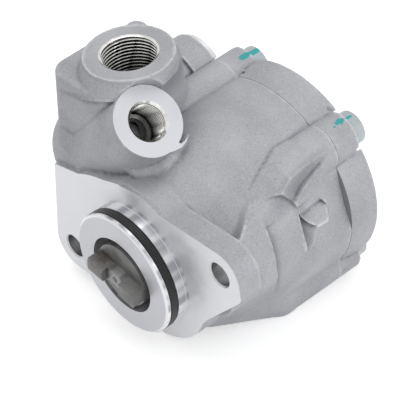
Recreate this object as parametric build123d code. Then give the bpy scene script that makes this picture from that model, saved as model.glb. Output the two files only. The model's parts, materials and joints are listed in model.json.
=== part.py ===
from build123d import *
from math import cos, hypot, radians, sin, sqrt, tan
import os

# Power steering pump: a balanced vane pump that bolts to an engine by its front flange.
# Millimetres. Origin at the centre of the pilot, in the machined mounting face. +Y runs along
# the shaft to the rear, +Z points up, out of the suction port, and +X is to the right of
# someone who faces the mounting face.

# Mounting face, pilot and flange
pilot_radius = 30.0
pilot_height = 13.0
pilot_chamfer = 0.8
seal_groove_front = 10.8
seal_groove_width = 4.6
seal_groove_depth = 2.6
seal_stand_proud = 0.2
pilot_bore_radius = 18.9
pilot_bore_depth = 15.0
flange_thickness = 12.5
flange_disc_radius = 39.25
flange_disc_drop = 0.75
mount_hole_spacing = 116.0
mount_hole_tilt = 23.0
mount_hole_radius = 5.75
right_lobe_radius = 12.3
left_lobe_radius = 12.5
left_edge_lean = 11.7
left_corner_x = -57.4
shoulder_point = (-34.3, 30.6)
shoulder_angle = 105.0
top_turn_x = 18.0
right_edge_length = 8.4
diagonal_end_x = 37.5

# Bell of the housing and the cover
bell_neck_radius = 39.0
bell_neck_length = 13.5
bell_shoulder_radius = 46.5
bell_shoulder_y = 30.0
bell_radius = 49.0
bell_full_y = 46.0
side_flat_distance = 45.4
side_flat_slope = 6.0
side_flat_angle = 11.5
side_flat_front = 38.0
side_flat_half_width = 17.0
side_block_radius = 48.2
side_block_rear = 35.5
side_block_top_angle = 32.0
side_block_bottom_angle = -14.0
ridge_hollow_front = 42.0
ridge_hollow_rear = 73.0
ridge_hollow_front_radius = 13.0
ridge_hollow_rear_radius = 1.0
ridge_hollow_front_place = (54.3, 29.0)
ridge_hollow_rear_place = (43.9, 36.6)
side_pad_height = 5.2
side_pocket_depth = 2.4
cover_radius = 50.5
cover_joint_radius = 49.2
cover_flare_length = 8.0
cover_thickness = 16.0
cover_lobe_thickness = 12.0
cover_edge_radius = 2.5

# Screws that hold the cover, the first one further out to clear the rear boss
screw_circle_radius = 46.0
first_screw_radius = 47.6
screw_angles = (126.5, 44.0, -53.5, -136.0)
screw_places = tuple(zip((first_screw_radius,) + (screw_circle_radius,) * 3, screw_angles))
screw_lobe_radius = 11.0
ridge_noses = ((48.0, 32.0, 5.0, 38.0), (56.0, 36.0, 5.0, 40.0), (50.0, 17.0, 8.0, 34.5),
               (52.0, 30.0, 6.0, 36.0))  # where each ridge is full, its nose's place, radius and circle
screw_radius = 5.0
screw_head_radius = 8.0
screw_head_height = 6.5
screw_thread_length = 20.0
screw_hole_clearance = 0.5
screw_thread_clearance = 0.1
screw_socket_radius = 4.0
screw_socket_depth = 4.0
washer_radius = 9.0
washer_thickness = 1.5
spot_face_radius = 10.6

# Suction tower and port
suction_x = -34.0
suction_y = 33.5
suction_face_z = 78.5
suction_ring_radius = 20.8
suction_thread_radius = 12.25
suction_mouth_radius = 14.4
suction_thread_depth = 22.0
suction_bore_radius = 11.0
suction_bore_bottom = 22.0
suction_flare_top = 77.0
suction_flare_bottom = 66.5
suction_flare_radius = 23.3
suction_flare_place = (-37.0, 31.3)
tower_top_left = -61.5
tower_foot_left = -66.0
tower_right = -19.0
tower_front = 8.0
tower_rear = 59.0
tower_top = 71.8
tower_bottom = 26.0
tower_corner_radius = 17.0
tower_foot_corner_radius = 6.0
tower_edge_radius = 3.5

# Valve housing and pressure port, on one axis at 45 degrees
pressure_x = -8.5
pressure_y = 20.0
pressure_z = 61.5
pressure_angle = 45.0
pressure_ring_radius = 16.25
pressure_ring_height = 3.0
pressure_clearance_radius = 17.8
pressure_thread_radius = 8.25
pressure_mouth_radius = 9.6
pressure_thread_depth = 15.0
pressure_neck_radius = 18.6
pressure_neck_length = 14.0
valve_housing_radius = 20.0
valve_housing_start = 16.0
valve_housing_end = 65.0
valve_housing_edge = 6.0
valve_end_radius = 23.0
valve_end_length = 18.0
valve_end_place = (3.5, 4.0)
valve_bore_radius = 7.5
valve_seat_radius = 6.5
valve_seat_depth = 26.0
gallery_radius = 3.5

# Round boss behind the suction port
rear_boss_x = -48.0
rear_boss_z = 36.0
rear_boss_radius = 17.6
rear_boss_front = 56.0
rear_collar_radius = 16.4
rear_collar_height = 4.0
cover_gap = 0.6

# Bore steps for bearing and seal
bearing_outer_radius = 17.5
bearing_inner_radius = 8.5
bearing_width = 10.0
bearing_front = 4.0
ball_radius = 3.0
ball_count = 7
cage_half_length = 3.4
cage_half_wall = 0.6
race_half_gap = 1.6
race_clearance = 0.1
press_allowance = 0.01
ring_groove_width = 1.4
ring_groove_radius = 18.5
retaining_ring_inner = 16.0
retaining_ring_gap = 9.0
ring_clearance = 0.05
seal_radius = 14.5
seal_width = 7.0
shaft_seal_radius = 9.0
shoulder_radius = 12.0
shoulder_end = 24.0
shaft_passage_radius = 10.0

# Vane cartridge
cavity_radius = 37.0
cavity_front = 32.0
plate_radius = 33.0
front_plate_thickness = 9.0
rear_plate_thickness = 9.0
rear_plate_clearance = 0.1
ring_width = 20.0
cam_minor_radius = 22.3
cam_major_radius = 25.3
rotor_radius = 21.7
rotor_side_clearance = 0.1
vane_count = 10
vane_thickness = 1.8
vane_height = 8.6
vane_side_clearance = 0.04
vane_tip_clearance = 0.3
slot_root_radius = 12.8
dowel_radius = 2.5
dowel_circle_radius = 29.0
dowel_depth = 6.0
port_window_radius = 20.0
disc_spring_gap = 2.0
disc_spring_inner = 20.0
disc_spring_outer = 30.0
disc_spring_thickness = 0.8
cover_spigot_length = 8.0
joint_y = (cavity_front + front_plate_thickness + ring_width + rear_plate_thickness
           + disc_spring_gap + cover_spigot_length)
cover_seal_section = 1.5

# Shaft and coupling
shaft_front = 17.0
shaft_nose_radius = 6.0
shaft_rotor_radius = 9.0
shaft_journal_radius = 8.0
shaft_end_clearance = 0.6
centre_hole_radius = 1.6
bush_outer_radius = 10.5
bush_length = 14.0
running_clearance = 0.05
coupling_radius = 15.45
coupling_face = 13.0
coupling_hub_end = 1.0
coupling_lug_face = 19.7
coupling_bar_width = 7.4
coupling_bar_tilt = -11.5
coupling_slot_left = 5.0
coupling_slot_depth = 2.7

# Flow control valve
spool_length = 18.0
spool_clearance = 0.03
spool_wall = 1.8
spool_groove_depth = 1.2
spool_nose = 5.0
spring_wire = 1.0
spring_turns = 6
plug_thread_radius = 8.5
plug_thread_length = 6.0
plug_nose_length = 2.8
plug_recess = 1.0
plug_seal_section = 0.65
relief_ball_radius = 2.0
relief_hole_radius = 1.2
relief_wire = 0.4
relief_screw_length = 3.0


def at_y(y):
    # A plane across the shaft at distance y, with local x to the right and local y up
    return Plane.XZ.offset(-y)


def rod(radius, front, rear, x=0.0, z=0.0):
    # A straight round bar along the shaft direction
    return extrude(at_y(front) * Pos(x, z) * Circle(radius), -(rear - front))


def tube(outer, inner, front, rear, x=0.0, z=0.0):
    return extrude(at_y(front) * Pos(x, z) * (Circle(outer) - Circle(inner)), -(rear - front))


def taper(front_radius, rear_radius, front, rear, front_place, rear_place):
    # A leaning cone between two circles that both face along the shaft
    front_face = at_y(front) * Pos(*front_place) * Circle(front_radius)
    rear_face = at_y(rear) * Pos(*rear_place) * Circle(rear_radius)
    return loft([front_face, rear_face])


def polar(radius, angle):
    return (radius * cos(radians(angle)), radius * sin(radians(angle)))


def rounded_outline(corners):
    # A closed outline through corners (x, y, radius), each rounded by its own radius
    face = make_face(Polyline(*[(x, y) for x, y, _ in corners], close=True))
    for x, y, radius in corners:
        if radius > 0:
            near = sorted(face.vertices(), key=lambda v: hypot(v.X - x, v.Y - y))[0]
            face = fillet(near, radius)
    return face


def turned(profile):
    # A body turned about the shaft from (radius, y) points
    return revolve(make_face(Polyline(*profile, close=True)), Axis.Y, 360)


def valve_plane(depth):
    # A plane across the valve axis, depth measured inwards from the pressure port face
    direction = Vector(cos(radians(pressure_angle)), 0, sin(radians(pressure_angle)))
    origin = Vector(pressure_x, pressure_y, pressure_z) - direction * depth
    return Plane(origin=origin, x_dir=(0, 1, 0), z_dir=direction)


def valve_rod(radius, start, end):
    return extrude(valve_plane(start) * Circle(radius), -(end - start))


def valve_tube(outer, inner, start, end):
    return extrude(valve_plane(start) * (Circle(outer) - Circle(inner)), -(end - start))


def down_rod(radius, top, bottom):
    # A round bar down the suction port's axis
    return extrude(Plane.XY.offset(top) * Pos(suction_x, suction_y) * Circle(radius), -(top - bottom))


def flange_outline():
    # Two lobes on the tilted line of the mounting holes, a disc between them, a straight top on
    # the right, a bowed shoulder up to the left corner and one edge at 45 degrees
    right_x, right_z = polar(mount_hole_spacing / 2, mount_hole_tilt)
    left_x, left_z = -right_x, -right_z
    top = right_z + right_lobe_radius
    side = right_x + right_lobe_radius
    bottom = left_z - left_lobe_radius
    lean = radians(left_edge_lean)
    lean_x = left_x - left_lobe_radius * cos(lean)
    lean_z = left_z + left_lobe_radius * sin(lean)
    corner = (left_corner_x, lean_z + (left_corner_x - lean_x) / tan(lean))
    shoulder_end = polar(flange_disc_radius - flange_disc_drop, shoulder_angle)
    side_corner = (side, right_z - right_edge_length)
    diagonal_end = (diagonal_end_x, side_corner[1] - (side - diagonal_end_x))
    start = Line((lean_x, lean_z), corner)
    bow = ThreePointArc(corner, shoulder_point, shoulder_end)
    across = Polyline(shoulder_end, (0, top - 6), (top_turn_x, top), (right_x, top))
    right_arc = CenterArc((right_x, right_z), right_lobe_radius, 90, -90)
    diagonal = Polyline((side, right_z), side_corner, diagonal_end, (diagonal_end_x / 2, bottom / 1.2),
                        (-diagonal_end_x / 2, bottom), (left_x, bottom))
    left_arc = CenterArc((left_x, left_z), left_lobe_radius, 270, -(90 + left_edge_lean))
    plate = make_face([start, bow, across, right_arc, diagonal, left_arc])
    for place, radius in ((corner, 2.5), (side_corner, 6.0)):
        near = sorted(plate.vertices(), key=lambda v: hypot(v.X - place[0], v.Y - place[1]))[0]
        plate = fillet(near, radius)
    return plate + Pos(0, -flange_disc_drop) * Circle(flange_disc_radius)


def flange():
    return extrude(at_y(0) * flange_outline(), -flange_thickness)


def bell():
    # The main body turned about the shaft, narrow behind the flange and full towards the joint
    profile = rounded_outline([
        (0, 0, 0), (bell_neck_radius, 0, 0), (bell_neck_radius, bell_neck_length, 6),
        (bell_shoulder_radius, bell_shoulder_y, 14), (bell_radius, bell_full_y, 20),
        (bell_radius, joint_y, 0), (0, joint_y, 0)])
    return revolve(profile, Axis.Y, 360)


def screw_bosses():
    # Four ridges along the bell that carry the cover's screws, each with a tapered nose
    ridges = []
    for place, (full, nose, nose_radius, nose_circle) in zip(screw_places, ridge_noses):
        seat = polar(*place)
        ridges.append(rod(screw_lobe_radius, full, joint_y, *seat))
        ridges.append(taper(nose_radius, screw_lobe_radius, nose, full, polar(nose_circle, place[1]), seat))
    return ridges


def tower():
    # The block under the suction port, and the round neck of the port itself
    plans = []
    for height, left, corner in ((tower_top, tower_top_left, tower_corner_radius),
                                 (tower_bottom, tower_foot_left, tower_foot_corner_radius)):
        plan = rounded_outline([
            (left, tower_front, corner), (tower_right, tower_front, tower_corner_radius),
            (tower_right, tower_rear, tower_corner_radius), (left, tower_rear, tower_corner_radius)])
        plans.append(Plane.XY.offset(height) * plan)
    block = loft(plans)
    block = fillet(block.faces().sort_by(Axis.Z)[-1].edges(), tower_edge_radius)
    neck = down_rod(suction_ring_radius, suction_face_z, suction_bore_bottom)
    upper = Plane.XY.offset(suction_flare_top) * Pos(suction_x, suction_y) * Circle(suction_ring_radius)
    lower = Plane.XY.offset(suction_flare_bottom) * Pos(*suction_flare_place) * Circle(suction_flare_radius)
    foot = Plane.XY.offset(suction_flare_bottom - 5) * Pos(*suction_flare_place) * Circle(suction_ring_radius)
    return [block, neck, loft([upper, lower]), loft([lower, foot])]


def valve_housing():
    barrel = valve_rod(valve_housing_radius, valve_housing_start, valve_housing_end)
    end_face = valve_plane(valve_housing_end - valve_end_length) * Pos(*valve_end_place)
    end_boss = extrude(end_face * Circle(valve_end_radius), -valve_end_length)
    end_boss = fillet(end_boss.edges().filter_by(GeomType.CIRCLE), valve_housing_edge)
    neck_front = valve_plane(pressure_ring_height) * Circle(pressure_ring_radius + 0.4)
    neck_rear = valve_plane(pressure_neck_length) * Circle(pressure_neck_radius)
    neck = loft([neck_front, neck_rear])
    shoulder = loft([valve_plane(pressure_neck_length) * Circle(pressure_neck_radius),
                     valve_plane(valve_housing_start) * Circle(valve_housing_radius)])
    ring = valve_rod(pressure_ring_radius, 0, pressure_ring_height)
    return [barrel, end_boss, neck, shoulder, ring]


def port_clearance():
    # Room for a tool around the pressure port's face, cut out of the suction neck beside it
    return valve_rod(pressure_clearance_radius, -suction_ring_radius, 0)


def rear_boss():
    # The collar is turned, and cut away where the cover and its lobe stand beside it
    boss = rod(rear_boss_radius, rear_boss_front, joint_y, rear_boss_x, rear_boss_z)
    collar_end = joint_y + rear_collar_height
    collar = rod(rear_collar_radius, joint_y - 1, collar_end, rear_boss_x, rear_boss_z)
    collar = collar - rod(cover_radius + cover_gap, joint_y, collar_end + 1)
    lobe = polar(*screw_places[0])
    collar = collar - rod(screw_lobe_radius + cover_gap, joint_y, collar_end + 1, *lobe)
    return [boss, collar]


def side_flat():
    # The bell is planed beside the joint, deepest at the joint and running out forwards
    across = Plane(origin=(0, 0, 0), x_dir=(0, 1, 0),
                   z_dir=(-sin(radians(side_flat_angle)), 0, cos(radians(side_flat_angle))))
    reach = cover_radius + screw_lobe_radius
    rise = (joint_y - side_flat_front) * tan(radians(side_flat_slope))
    outline = Polyline((side_flat_front, -reach), (side_flat_front, -side_flat_distance - rise),
                       (joint_y, -side_flat_distance), (joint_y + 1, -side_flat_distance),
                       (joint_y + 1, -reach), close=True)
    return extrude(across * make_face(outline), side_flat_half_width, both=True)


def side_block():
    # The thick wall between the flange and the planed side, under the right arm
    top = polar(2 * side_block_radius, side_block_top_angle)
    bottom = polar(2 * side_block_radius, side_block_bottom_angle)
    wedge = make_face(Polyline((0, 0), bottom, top, close=True))
    block = rod(side_block_radius, flange_thickness - 1, side_block_rear)
    return block & extrude(at_y(0) * wedge, -side_block_rear)


def ridge_hollow():
    # The hollow flank under the crest of the right-hand ridge
    return taper(ridge_hollow_front_radius, ridge_hollow_rear_radius, ridge_hollow_front, ridge_hollow_rear,
                 ridge_hollow_front_place, ridge_hollow_rear_place)


def side_plane(distance):
    # A plane that looks out of the planed side, with local x to the rear and local y up
    outward = (cos(radians(side_flat_angle)), 0, sin(radians(side_flat_angle)))
    return Plane(origin=(0, 0, 0), x_dir=(0, -1, 0), z_dir=outward).offset(distance)


def side_outline(corners, distance, height):
    # Corners are (y, height up the side)
    face = make_face(Polyline(*[(-y, -up) for y, up in corners], close=True))
    return extrude(side_plane(distance) * face, height)


def side_pad():
    # A small three-cornered pad that stays proud on the planed side
    corners = ((54.5, 8.0), (66.0, 8.5), (69.0, 3.0), (61.0, -3.5), (57.5, -1.0))
    return side_outline(corners, side_flat_distance, side_pad_height)


def side_pocket():
    # The three-cornered hollow in front of the pad
    corners = ((53.0, 7.0), (55.0, -14.0), (58.5, -1.5))
    return side_outline(corners, bell_radius - side_pocket_depth, 8)


def casting():
    # The raw casting: every outer form of the housing before it is machined
    body = bell()
    for piece in screw_bosses() + tower() + valve_housing() + rear_boss():
        body = body + piece
    body = body - side_flat() - side_pocket() - ridge_hollow() - port_clearance()
    return body + side_pad() + side_block() + flange()


def pilot():
    # The turned pilot with its chamfer and its seal groove
    groove_rear = seal_groove_front - seal_groove_width
    return turned([
        (0, 0), (pilot_radius, 0), (pilot_radius, -groove_rear),
        (pilot_radius - seal_groove_depth, -groove_rear), (pilot_radius - seal_groove_depth, -seal_groove_front),
        (pilot_radius, -seal_groove_front), (pilot_radius, -(pilot_height - pilot_chamfer)),
        (pilot_radius - pilot_chamfer, -pilot_height), (0, -pilot_height)])


def shaft_bores():
    # Pilot bore, ring groove, bearing seat, seal seat and the passage to the cartridge, in one turn
    bearing_rear = bearing_front + bearing_width
    seal_rear = bearing_rear + seal_width
    groove_front = bearing_front - ring_groove_width
    bore_floor = pilot_bore_depth - pilot_height
    return turned([
        (0, -pilot_height - 1), (pilot_bore_radius + 1, -pilot_height - 1), (pilot_bore_radius, -pilot_height),
        (pilot_bore_radius, bore_floor),
        (bearing_outer_radius, bore_floor), (bearing_outer_radius, groove_front),
        (ring_groove_radius, groove_front), (ring_groove_radius, bearing_front),
        (bearing_outer_radius, bearing_front), (bearing_outer_radius, bearing_rear),
        (seal_radius, bearing_rear), (seal_radius, seal_rear), (shoulder_radius, seal_rear),
        (shoulder_radius, shoulder_end), (shaft_passage_radius, shoulder_end),
        (shaft_passage_radius, cavity_front), (cavity_radius, cavity_front),
        (cavity_radius, joint_y + 1), (0, joint_y + 1)])


def mount_holes():
    holes = []
    for side in (1, -1):
        x, z = polar(side * mount_hole_spacing / 2, mount_hole_tilt)
        holes.append(rod(mount_hole_radius, -1, flange_thickness + 20, x, z))
    return holes


def suction_bores():
    countersink = loft([Plane.XY.offset(suction_face_z + 0.5) * Pos(suction_x, suction_y)
                        * Circle(suction_mouth_radius + 0.5),
                        Plane.XY.offset(suction_face_z - 2.15) * Pos(suction_x, suction_y)
                        * Circle(suction_thread_radius)])
    thread = down_rod(suction_thread_radius, suction_face_z + 1, suction_face_z - suction_thread_depth)
    bore = down_rod(suction_bore_radius, suction_face_z - suction_thread_depth + 1, suction_bore_bottom)
    return [countersink, thread, bore]


def valve_bores():
    countersink = loft([valve_plane(-0.3) * Circle(pressure_mouth_radius + 0.3),
                        valve_plane(1.35) * Circle(pressure_thread_radius)])
    thread = valve_rod(pressure_thread_radius, -1, pressure_thread_depth)
    seat = valve_rod(valve_seat_radius, pressure_thread_depth - 1, valve_seat_depth + 1)
    thread_start = valve_housing_end - plug_recess - plug_thread_length
    bore = valve_rod(valve_bore_radius, valve_seat_depth, thread_start + 1)
    plug_thread = valve_rod(plug_thread_radius, thread_start, valve_housing_end + 14)
    start = Vector(-35, pressure_y, 35)
    end = Vector(-22, cavity_front + 6, 22)
    drilled = Plane(origin=start, z_dir=end - start)
    gallery = extrude(drilled * Circle(gallery_radius), (end - start).length)
    return [countersink, thread, seat, bore, plug_thread, gallery]


def housing():
    body = casting()
    in_front = Pos(0, -30, 0) * Box(260, 60, 260)
    body = body - in_front
    body = body + pilot()
    for cut in [shaft_bores()] + mount_holes() + suction_bores() + valve_bores():
        body = body - cut
    for place in screw_places:
        x, z = polar(*place)
        body = body - rod(screw_radius, joint_y - screw_thread_length - 3, joint_y + 1, x, z)
    for side in (1, -1):
        body = body - rod(dowel_radius, cavity_front - dowel_depth, cavity_front + 1,
                          side * dowel_circle_radius, 0)
    return body


def rear_cover():
    rear = joint_y + cover_thickness
    disc = turned([(0, joint_y), (cover_joint_radius, joint_y), (cover_radius, joint_y + cover_flare_length),
                   (cover_radius, rear), (0, rear)])
    disc = fillet(disc.faces().sort_by(Axis.Y)[-1].edges(), cover_edge_radius)
    body = disc
    for place in screw_places:
        x, z = polar(*place)
        body = body + rod(screw_lobe_radius, joint_y, joint_y + cover_lobe_thickness, x, z)
    for place in screw_places:
        x, z = polar(*place)
        body = body - rod(spot_face_radius, joint_y + cover_lobe_thickness, rear + 1, x, z)
    spigot_radius = cavity_radius - rear_plate_clearance
    body = body + rod(spigot_radius, joint_y - cover_spigot_length, joint_y)
    for place in screw_places:
        x, z = polar(*place)
        body = body - rod(screw_radius + screw_hole_clearance, joint_y - 1, rear + 1, x, z)
    groove_middle = joint_y - cover_spigot_length / 2
    groove = tube(spigot_radius + 1, cavity_radius - 2 * cover_seal_section, groove_middle - cover_seal_section,
                  groove_middle + cover_seal_section)
    body = body - groove
    bush_seat_front = joint_y - cover_spigot_length
    shaft_end = bush_seat_front + bush_length + shaft_end_clearance
    body = body - rod(bush_outer_radius, bush_seat_front - 1, bush_seat_front + bush_length)
    body = body - rod(shaft_journal_radius + 0.5, bush_seat_front, shaft_end + shaft_end_clearance)
    return body


def ring_seal(mean_radius, section, y):
    # A round-section ring about the shaft
    profile = Plane.XY * Pos(mean_radius, y) * Circle(section)
    return revolve(profile, Axis.Y, 360)


def pilot_o_ring():
    section = (seal_groove_depth + seal_stand_proud) / 2
    middle = seal_groove_front - seal_groove_width / 2
    mean = pilot_radius + seal_stand_proud - section
    flat = seal_groove_width / 2 - 0.25
    profile = Plane.XY * Pos(mean, -middle) * RectangleRounded(2 * section, 2 * flat, section * 0.9)
    return revolve(profile, Axis.Y, 360)


def cover_seal():
    section = cover_seal_section - 0.05
    return ring_seal(cavity_radius - cover_seal_section - 0.02, section, joint_y - cover_spigot_length / 2)


def cover_screws():
    seat = joint_y + cover_lobe_thickness + washer_thickness
    screws = []
    for place in screw_places:
        x, z = polar(*place)
        head = rod(screw_head_radius, seat, seat + screw_head_height, x, z)
        head = chamfer(head.faces().sort_by(Axis.Y)[-1].edges(), 0.5)
        shank = rod(screw_radius - screw_thread_clearance, joint_y - screw_thread_length, seat, x, z)
        socket = extrude(at_y(seat + screw_head_height - screw_socket_depth) * Pos(x, z)
                         * RegularPolygon(screw_socket_radius, 6), -(screw_socket_depth + 1))
        screws.append(head + shank - socket)
    return Compound(children=screws)


def lock_washers():
    front = joint_y + cover_lobe_thickness
    washers = []
    for place in screw_places:
        x, z = polar(*place)
        washers.append(tube(washer_radius, screw_radius + 0.3, front, front + washer_thickness, x, z))
    return Compound(children=washers)


def coupling():
    # A round hub with a bar across its face; the bar is cut in the middle, where the shaft ends
    hub = rod(coupling_radius, -coupling_face, -coupling_hub_end)
    bar_face = at_y(-coupling_lug_face) * Rot(0, 0, coupling_bar_tilt) * Rectangle(
        2 * coupling_radius + 2, coupling_bar_width)
    bar = extrude(bar_face, -(coupling_lug_face - coupling_face + 1))
    bar = bar & rod(coupling_radius, -coupling_lug_face, 0)
    half = coupling_bar_width / 2
    slot_points = ((-coupling_slot_left, -half - 1), (-coupling_slot_left, half + 1), (6.0, half + 1),
                   (2.6, half - 3.2), (-1.6, 0.6), (4.6, -half - 1))
    slot = extrude(at_y(-coupling_lug_face - 1) * Rot(0, 0, coupling_bar_tilt)
                   * make_face(Polyline(*slot_points, close=True)), -(coupling_slot_depth + 1))
    body = hub + (bar - slot)
    return body - rod(shaft_nose_radius + 0.02, -coupling_lug_face - 1, 0)


def drive_shaft():
    # Front nose in the coupling, bearing seat, seal land, rotor seat and rear journal
    cartridge_front = cavity_front + front_plate_thickness
    rotor_rear = cartridge_front + ring_width
    end = joint_y - cover_spigot_length + bush_length + shaft_end_clearance / 2
    bearing_rear = bearing_front + bearing_width
    body = turned([
        (0, -shaft_front), (shaft_nose_radius - 0.4, -shaft_front), (shaft_nose_radius, -shaft_front + 0.4),
        (shaft_nose_radius, -coupling_hub_end), (bearing_inner_radius, -coupling_hub_end),
        (bearing_inner_radius, bearing_rear), (shaft_seal_radius, bearing_rear),
        (shaft_seal_radius, rotor_rear), (shaft_journal_radius, rotor_rear), (shaft_journal_radius, end - 1),
        (shaft_journal_radius - 1, end), (0, end)])
    flat_depth = coupling_bar_width / 2
    cheek = Box(4 * shaft_nose_radius, 2 * (shaft_front - coupling_face), shaft_nose_radius)
    cheeks = Pos(0, 0, flat_depth + shaft_nose_radius / 2) * cheek
    cheeks = cheeks + Pos(0, 0, -flat_depth - shaft_nose_radius / 2) * cheek
    cheeks = Pos(0, -shaft_front, 0) * Rot(0, -coupling_bar_tilt, 0) * cheeks
    centre = taper(centre_hole_radius, 0.4, -shaft_front - 0.01, -shaft_front + 2.2, (0, 0), (0, 0))
    return body - cheeks - centre


def bearing_outer_race():
    inner = (bearing_outer_radius + bearing_inner_radius) / 2 + race_half_gap
    middle = bearing_front + bearing_width / 2
    race = tube(bearing_outer_radius, inner, bearing_front, bearing_front + bearing_width)
    pitch = (bearing_outer_radius + bearing_inner_radius) / 2
    return race - ring_seal(pitch, ball_radius + race_clearance, middle)


def bearing_inner_race():
    outer = (bearing_outer_radius + bearing_inner_radius) / 2 - race_half_gap
    middle = bearing_front + bearing_width / 2
    race = tube(outer, bearing_inner_radius + press_allowance, bearing_front, bearing_front + bearing_width)
    pitch = (bearing_outer_radius + bearing_inner_radius) / 2
    return race - ring_seal(pitch, ball_radius + race_clearance, middle)


def bearing_balls():
    # The balls and the thin cage that spaces them
    pitch = (bearing_outer_radius + bearing_inner_radius) / 2
    middle = bearing_front + bearing_width / 2
    cage = tube(pitch + cage_half_wall, pitch - cage_half_wall, middle - cage_half_length,
                middle + cage_half_length)
    body = cage
    for k in range(ball_count):
        x, z = polar(pitch, 360 * k / ball_count)
        body = body + Pos(x, middle, z) * Sphere(ball_radius)
    return body


def bearing_retaining_ring():
    front = bearing_front - ring_groove_width + ring_clearance
    ring = tube(ring_groove_radius - 0.1, retaining_ring_inner, front, bearing_front - ring_clearance)
    gap = Box(retaining_ring_gap, 2 * ring_groove_width, ring_groove_radius / 2)
    gap = Pos(0, front, -ring_groove_radius) * gap
    return ring - gap


def shaft_seal():
    # A rubber-covered seal with a flexible lip that rides on the shaft
    front = bearing_front + bearing_width
    rear = front + seal_width
    lip = shaft_seal_radius + running_clearance
    return turned([
        (seal_radius, front), (seal_radius, rear), (seal_radius - 1.6, rear), (seal_radius - 1.6, front + 1.6),
        (lip + 1.4, front + 1.6), (lip + 1.2, rear - 2.2), (lip, rear - 2.6), (lip, front + 3.4),
        (lip + 0.4, front)])


def dowels():
    rear = cavity_front + front_plate_thickness + ring_width + rear_plate_thickness - 2
    pins = []
    for side in (1, -1):
        pin = rod(dowel_radius - 0.02, cavity_front - dowel_depth + 0.5, rear, side * dowel_circle_radius, 0)
        pins.append(pin)
    return Compound(children=pins)


def dowel_holes(front, rear):
    return [rod(dowel_radius, front, rear, side * dowel_circle_radius, 0) for side in (1, -1)]


def port_windows(front, rear):
    # Two kidney windows for suction and two for pressure, cut in the side plates
    cuts = []
    for angle in (45, 135, 225, 315):
        x, z = polar(port_window_radius, angle)
        cuts.append(extrude(at_y(front) * Pos(x, z) * Rot(0, 0, angle + 90) * SlotOverall(14, 5),
                            -(rear - front)))
    return cuts


def front_plate():
    rear = cavity_front + front_plate_thickness
    body = tube(plate_radius, shaft_passage_radius, cavity_front, rear)
    for cut in dowel_holes(cavity_front - 1, rear + 1) + port_windows(cavity_front - 1, rear + 1)[1::2]:
        body = body - cut
    return body


def cam_ring():
    front = cavity_front + front_plate_thickness
    outline = Circle(plate_radius) - Ellipse(cam_major_radius, cam_minor_radius)
    body = extrude(at_y(front) * outline, -ring_width)
    for cut in dowel_holes(front - 1, front + ring_width + 1):
        body = body - cut
    return body


def rear_plate():
    front = cavity_front + front_plate_thickness + ring_width
    rear = front + rear_plate_thickness
    radius = cavity_radius - rear_plate_clearance
    body = tube(radius, shaft_passage_radius, front, rear)
    middle = front + rear_plate_thickness / 2
    body = body - tube(radius + 1, cavity_radius - 2 * cover_seal_section,
                       middle - cover_seal_section, middle + cover_seal_section)
    for cut in dowel_holes(front - 1, rear - 1) + port_windows(front - 1, rear + 1)[0::2]:
        body = body - cut
    return body


def rear_plate_seal():
    front = cavity_front + front_plate_thickness + ring_width
    return ring_seal(cavity_radius - cover_seal_section - 0.02, cover_seal_section - 0.05,
                     front + rear_plate_thickness / 2)


def disc_spring():
    front = cavity_front + front_plate_thickness + ring_width + rear_plate_thickness
    rise = disc_spring_gap - disc_spring_thickness
    return turned([
        (disc_spring_inner, front), (disc_spring_inner, front + disc_spring_thickness),
        (disc_spring_outer, front + disc_spring_thickness + rise), (disc_spring_outer, front + rise)])


def vane_angle(index):
    return 360.0 / vane_count * index


def rotor():
    front = cavity_front + front_plate_thickness + rotor_side_clearance
    rear = front + ring_width - 2 * rotor_side_clearance
    body = tube(rotor_radius, shaft_seal_radius + 0.02, front, rear)
    slot_width = vane_thickness + 2 * vane_side_clearance
    reach = rotor_radius + 1 - slot_root_radius
    for k in range(vane_count):
        middle = slot_root_radius + reach / 2
        slot = extrude(at_y(front - 1) * Rot(0, 0, vane_angle(k)) * Pos(middle, 0)
                       * Rectangle(reach, slot_width), -(rear - front + 2))
        body = body - slot
    return body


def vane(index):
    # A flat blade whose outer end is rounded to run on the cam
    front = cavity_front + front_plate_thickness + rotor_side_clearance
    rear = front + ring_width - 2 * rotor_side_clearance
    tip = cam_minor_radius - vane_tip_clearance
    blade = Pos(tip - vane_height / 2, 0) * Rectangle(vane_height, vane_thickness)
    blade = fillet(blade.vertices().sort_by(Axis.X)[-2:], 0.6)
    return extrude(at_y(front) * Rot(0, 0, vane_angle(index)) * blade, -(rear - front))


def rotor_retaining_ring():
    rear = cavity_front + front_plate_thickness + ring_width
    return tube(shaft_passage_radius - 0.3, shaft_journal_radius + 0.02, rear + 0.1, rear + 1.3)


def rear_bush():
    front = joint_y - cover_spigot_length
    return tube(bush_outer_radius, shaft_journal_radius + running_clearance, front, front + bush_length)


def spool_cavity_radius():
    return valve_bore_radius - spool_clearance - spool_groove_depth - spool_wall


def flow_spool():
    # A hollow spool with two lands; the relief valve sits inside it
    radius = valve_bore_radius - spool_clearance
    front = valve_seat_depth
    rear = front + spool_length
    body = valve_rod(radius, front, rear)
    body = body - valve_tube(radius + 1, radius - spool_groove_depth, front + spool_nose, rear - spool_nose)
    body = body - valve_rod(relief_hole_radius, front - 1, front + spool_nose + 1)
    return body - valve_rod(spool_cavity_radius(), front + spool_nose, rear + 1)


def relief_ball_depth():
    # The ball rests on the rim of its hole
    sink = sqrt(relief_ball_radius ** 2 - relief_hole_radius ** 2)
    return valve_seat_depth + spool_nose + sink + running_clearance


def relief_ball():
    return valve_plane(relief_ball_depth()) * Sphere(relief_ball_radius)


def coil(radius, wire, start, end, turns):
    # A round-wire helical spring along the valve axis
    height = end - start - wire
    plane = valve_plane(end - wire / 2)
    path = Helix(pitch=height / turns, height=height, radius=radius)
    section = Plane(origin=path @ 0, z_dir=path % 0) * Circle(wire / 2)
    return plane.location * sweep(section, path=path)


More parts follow.
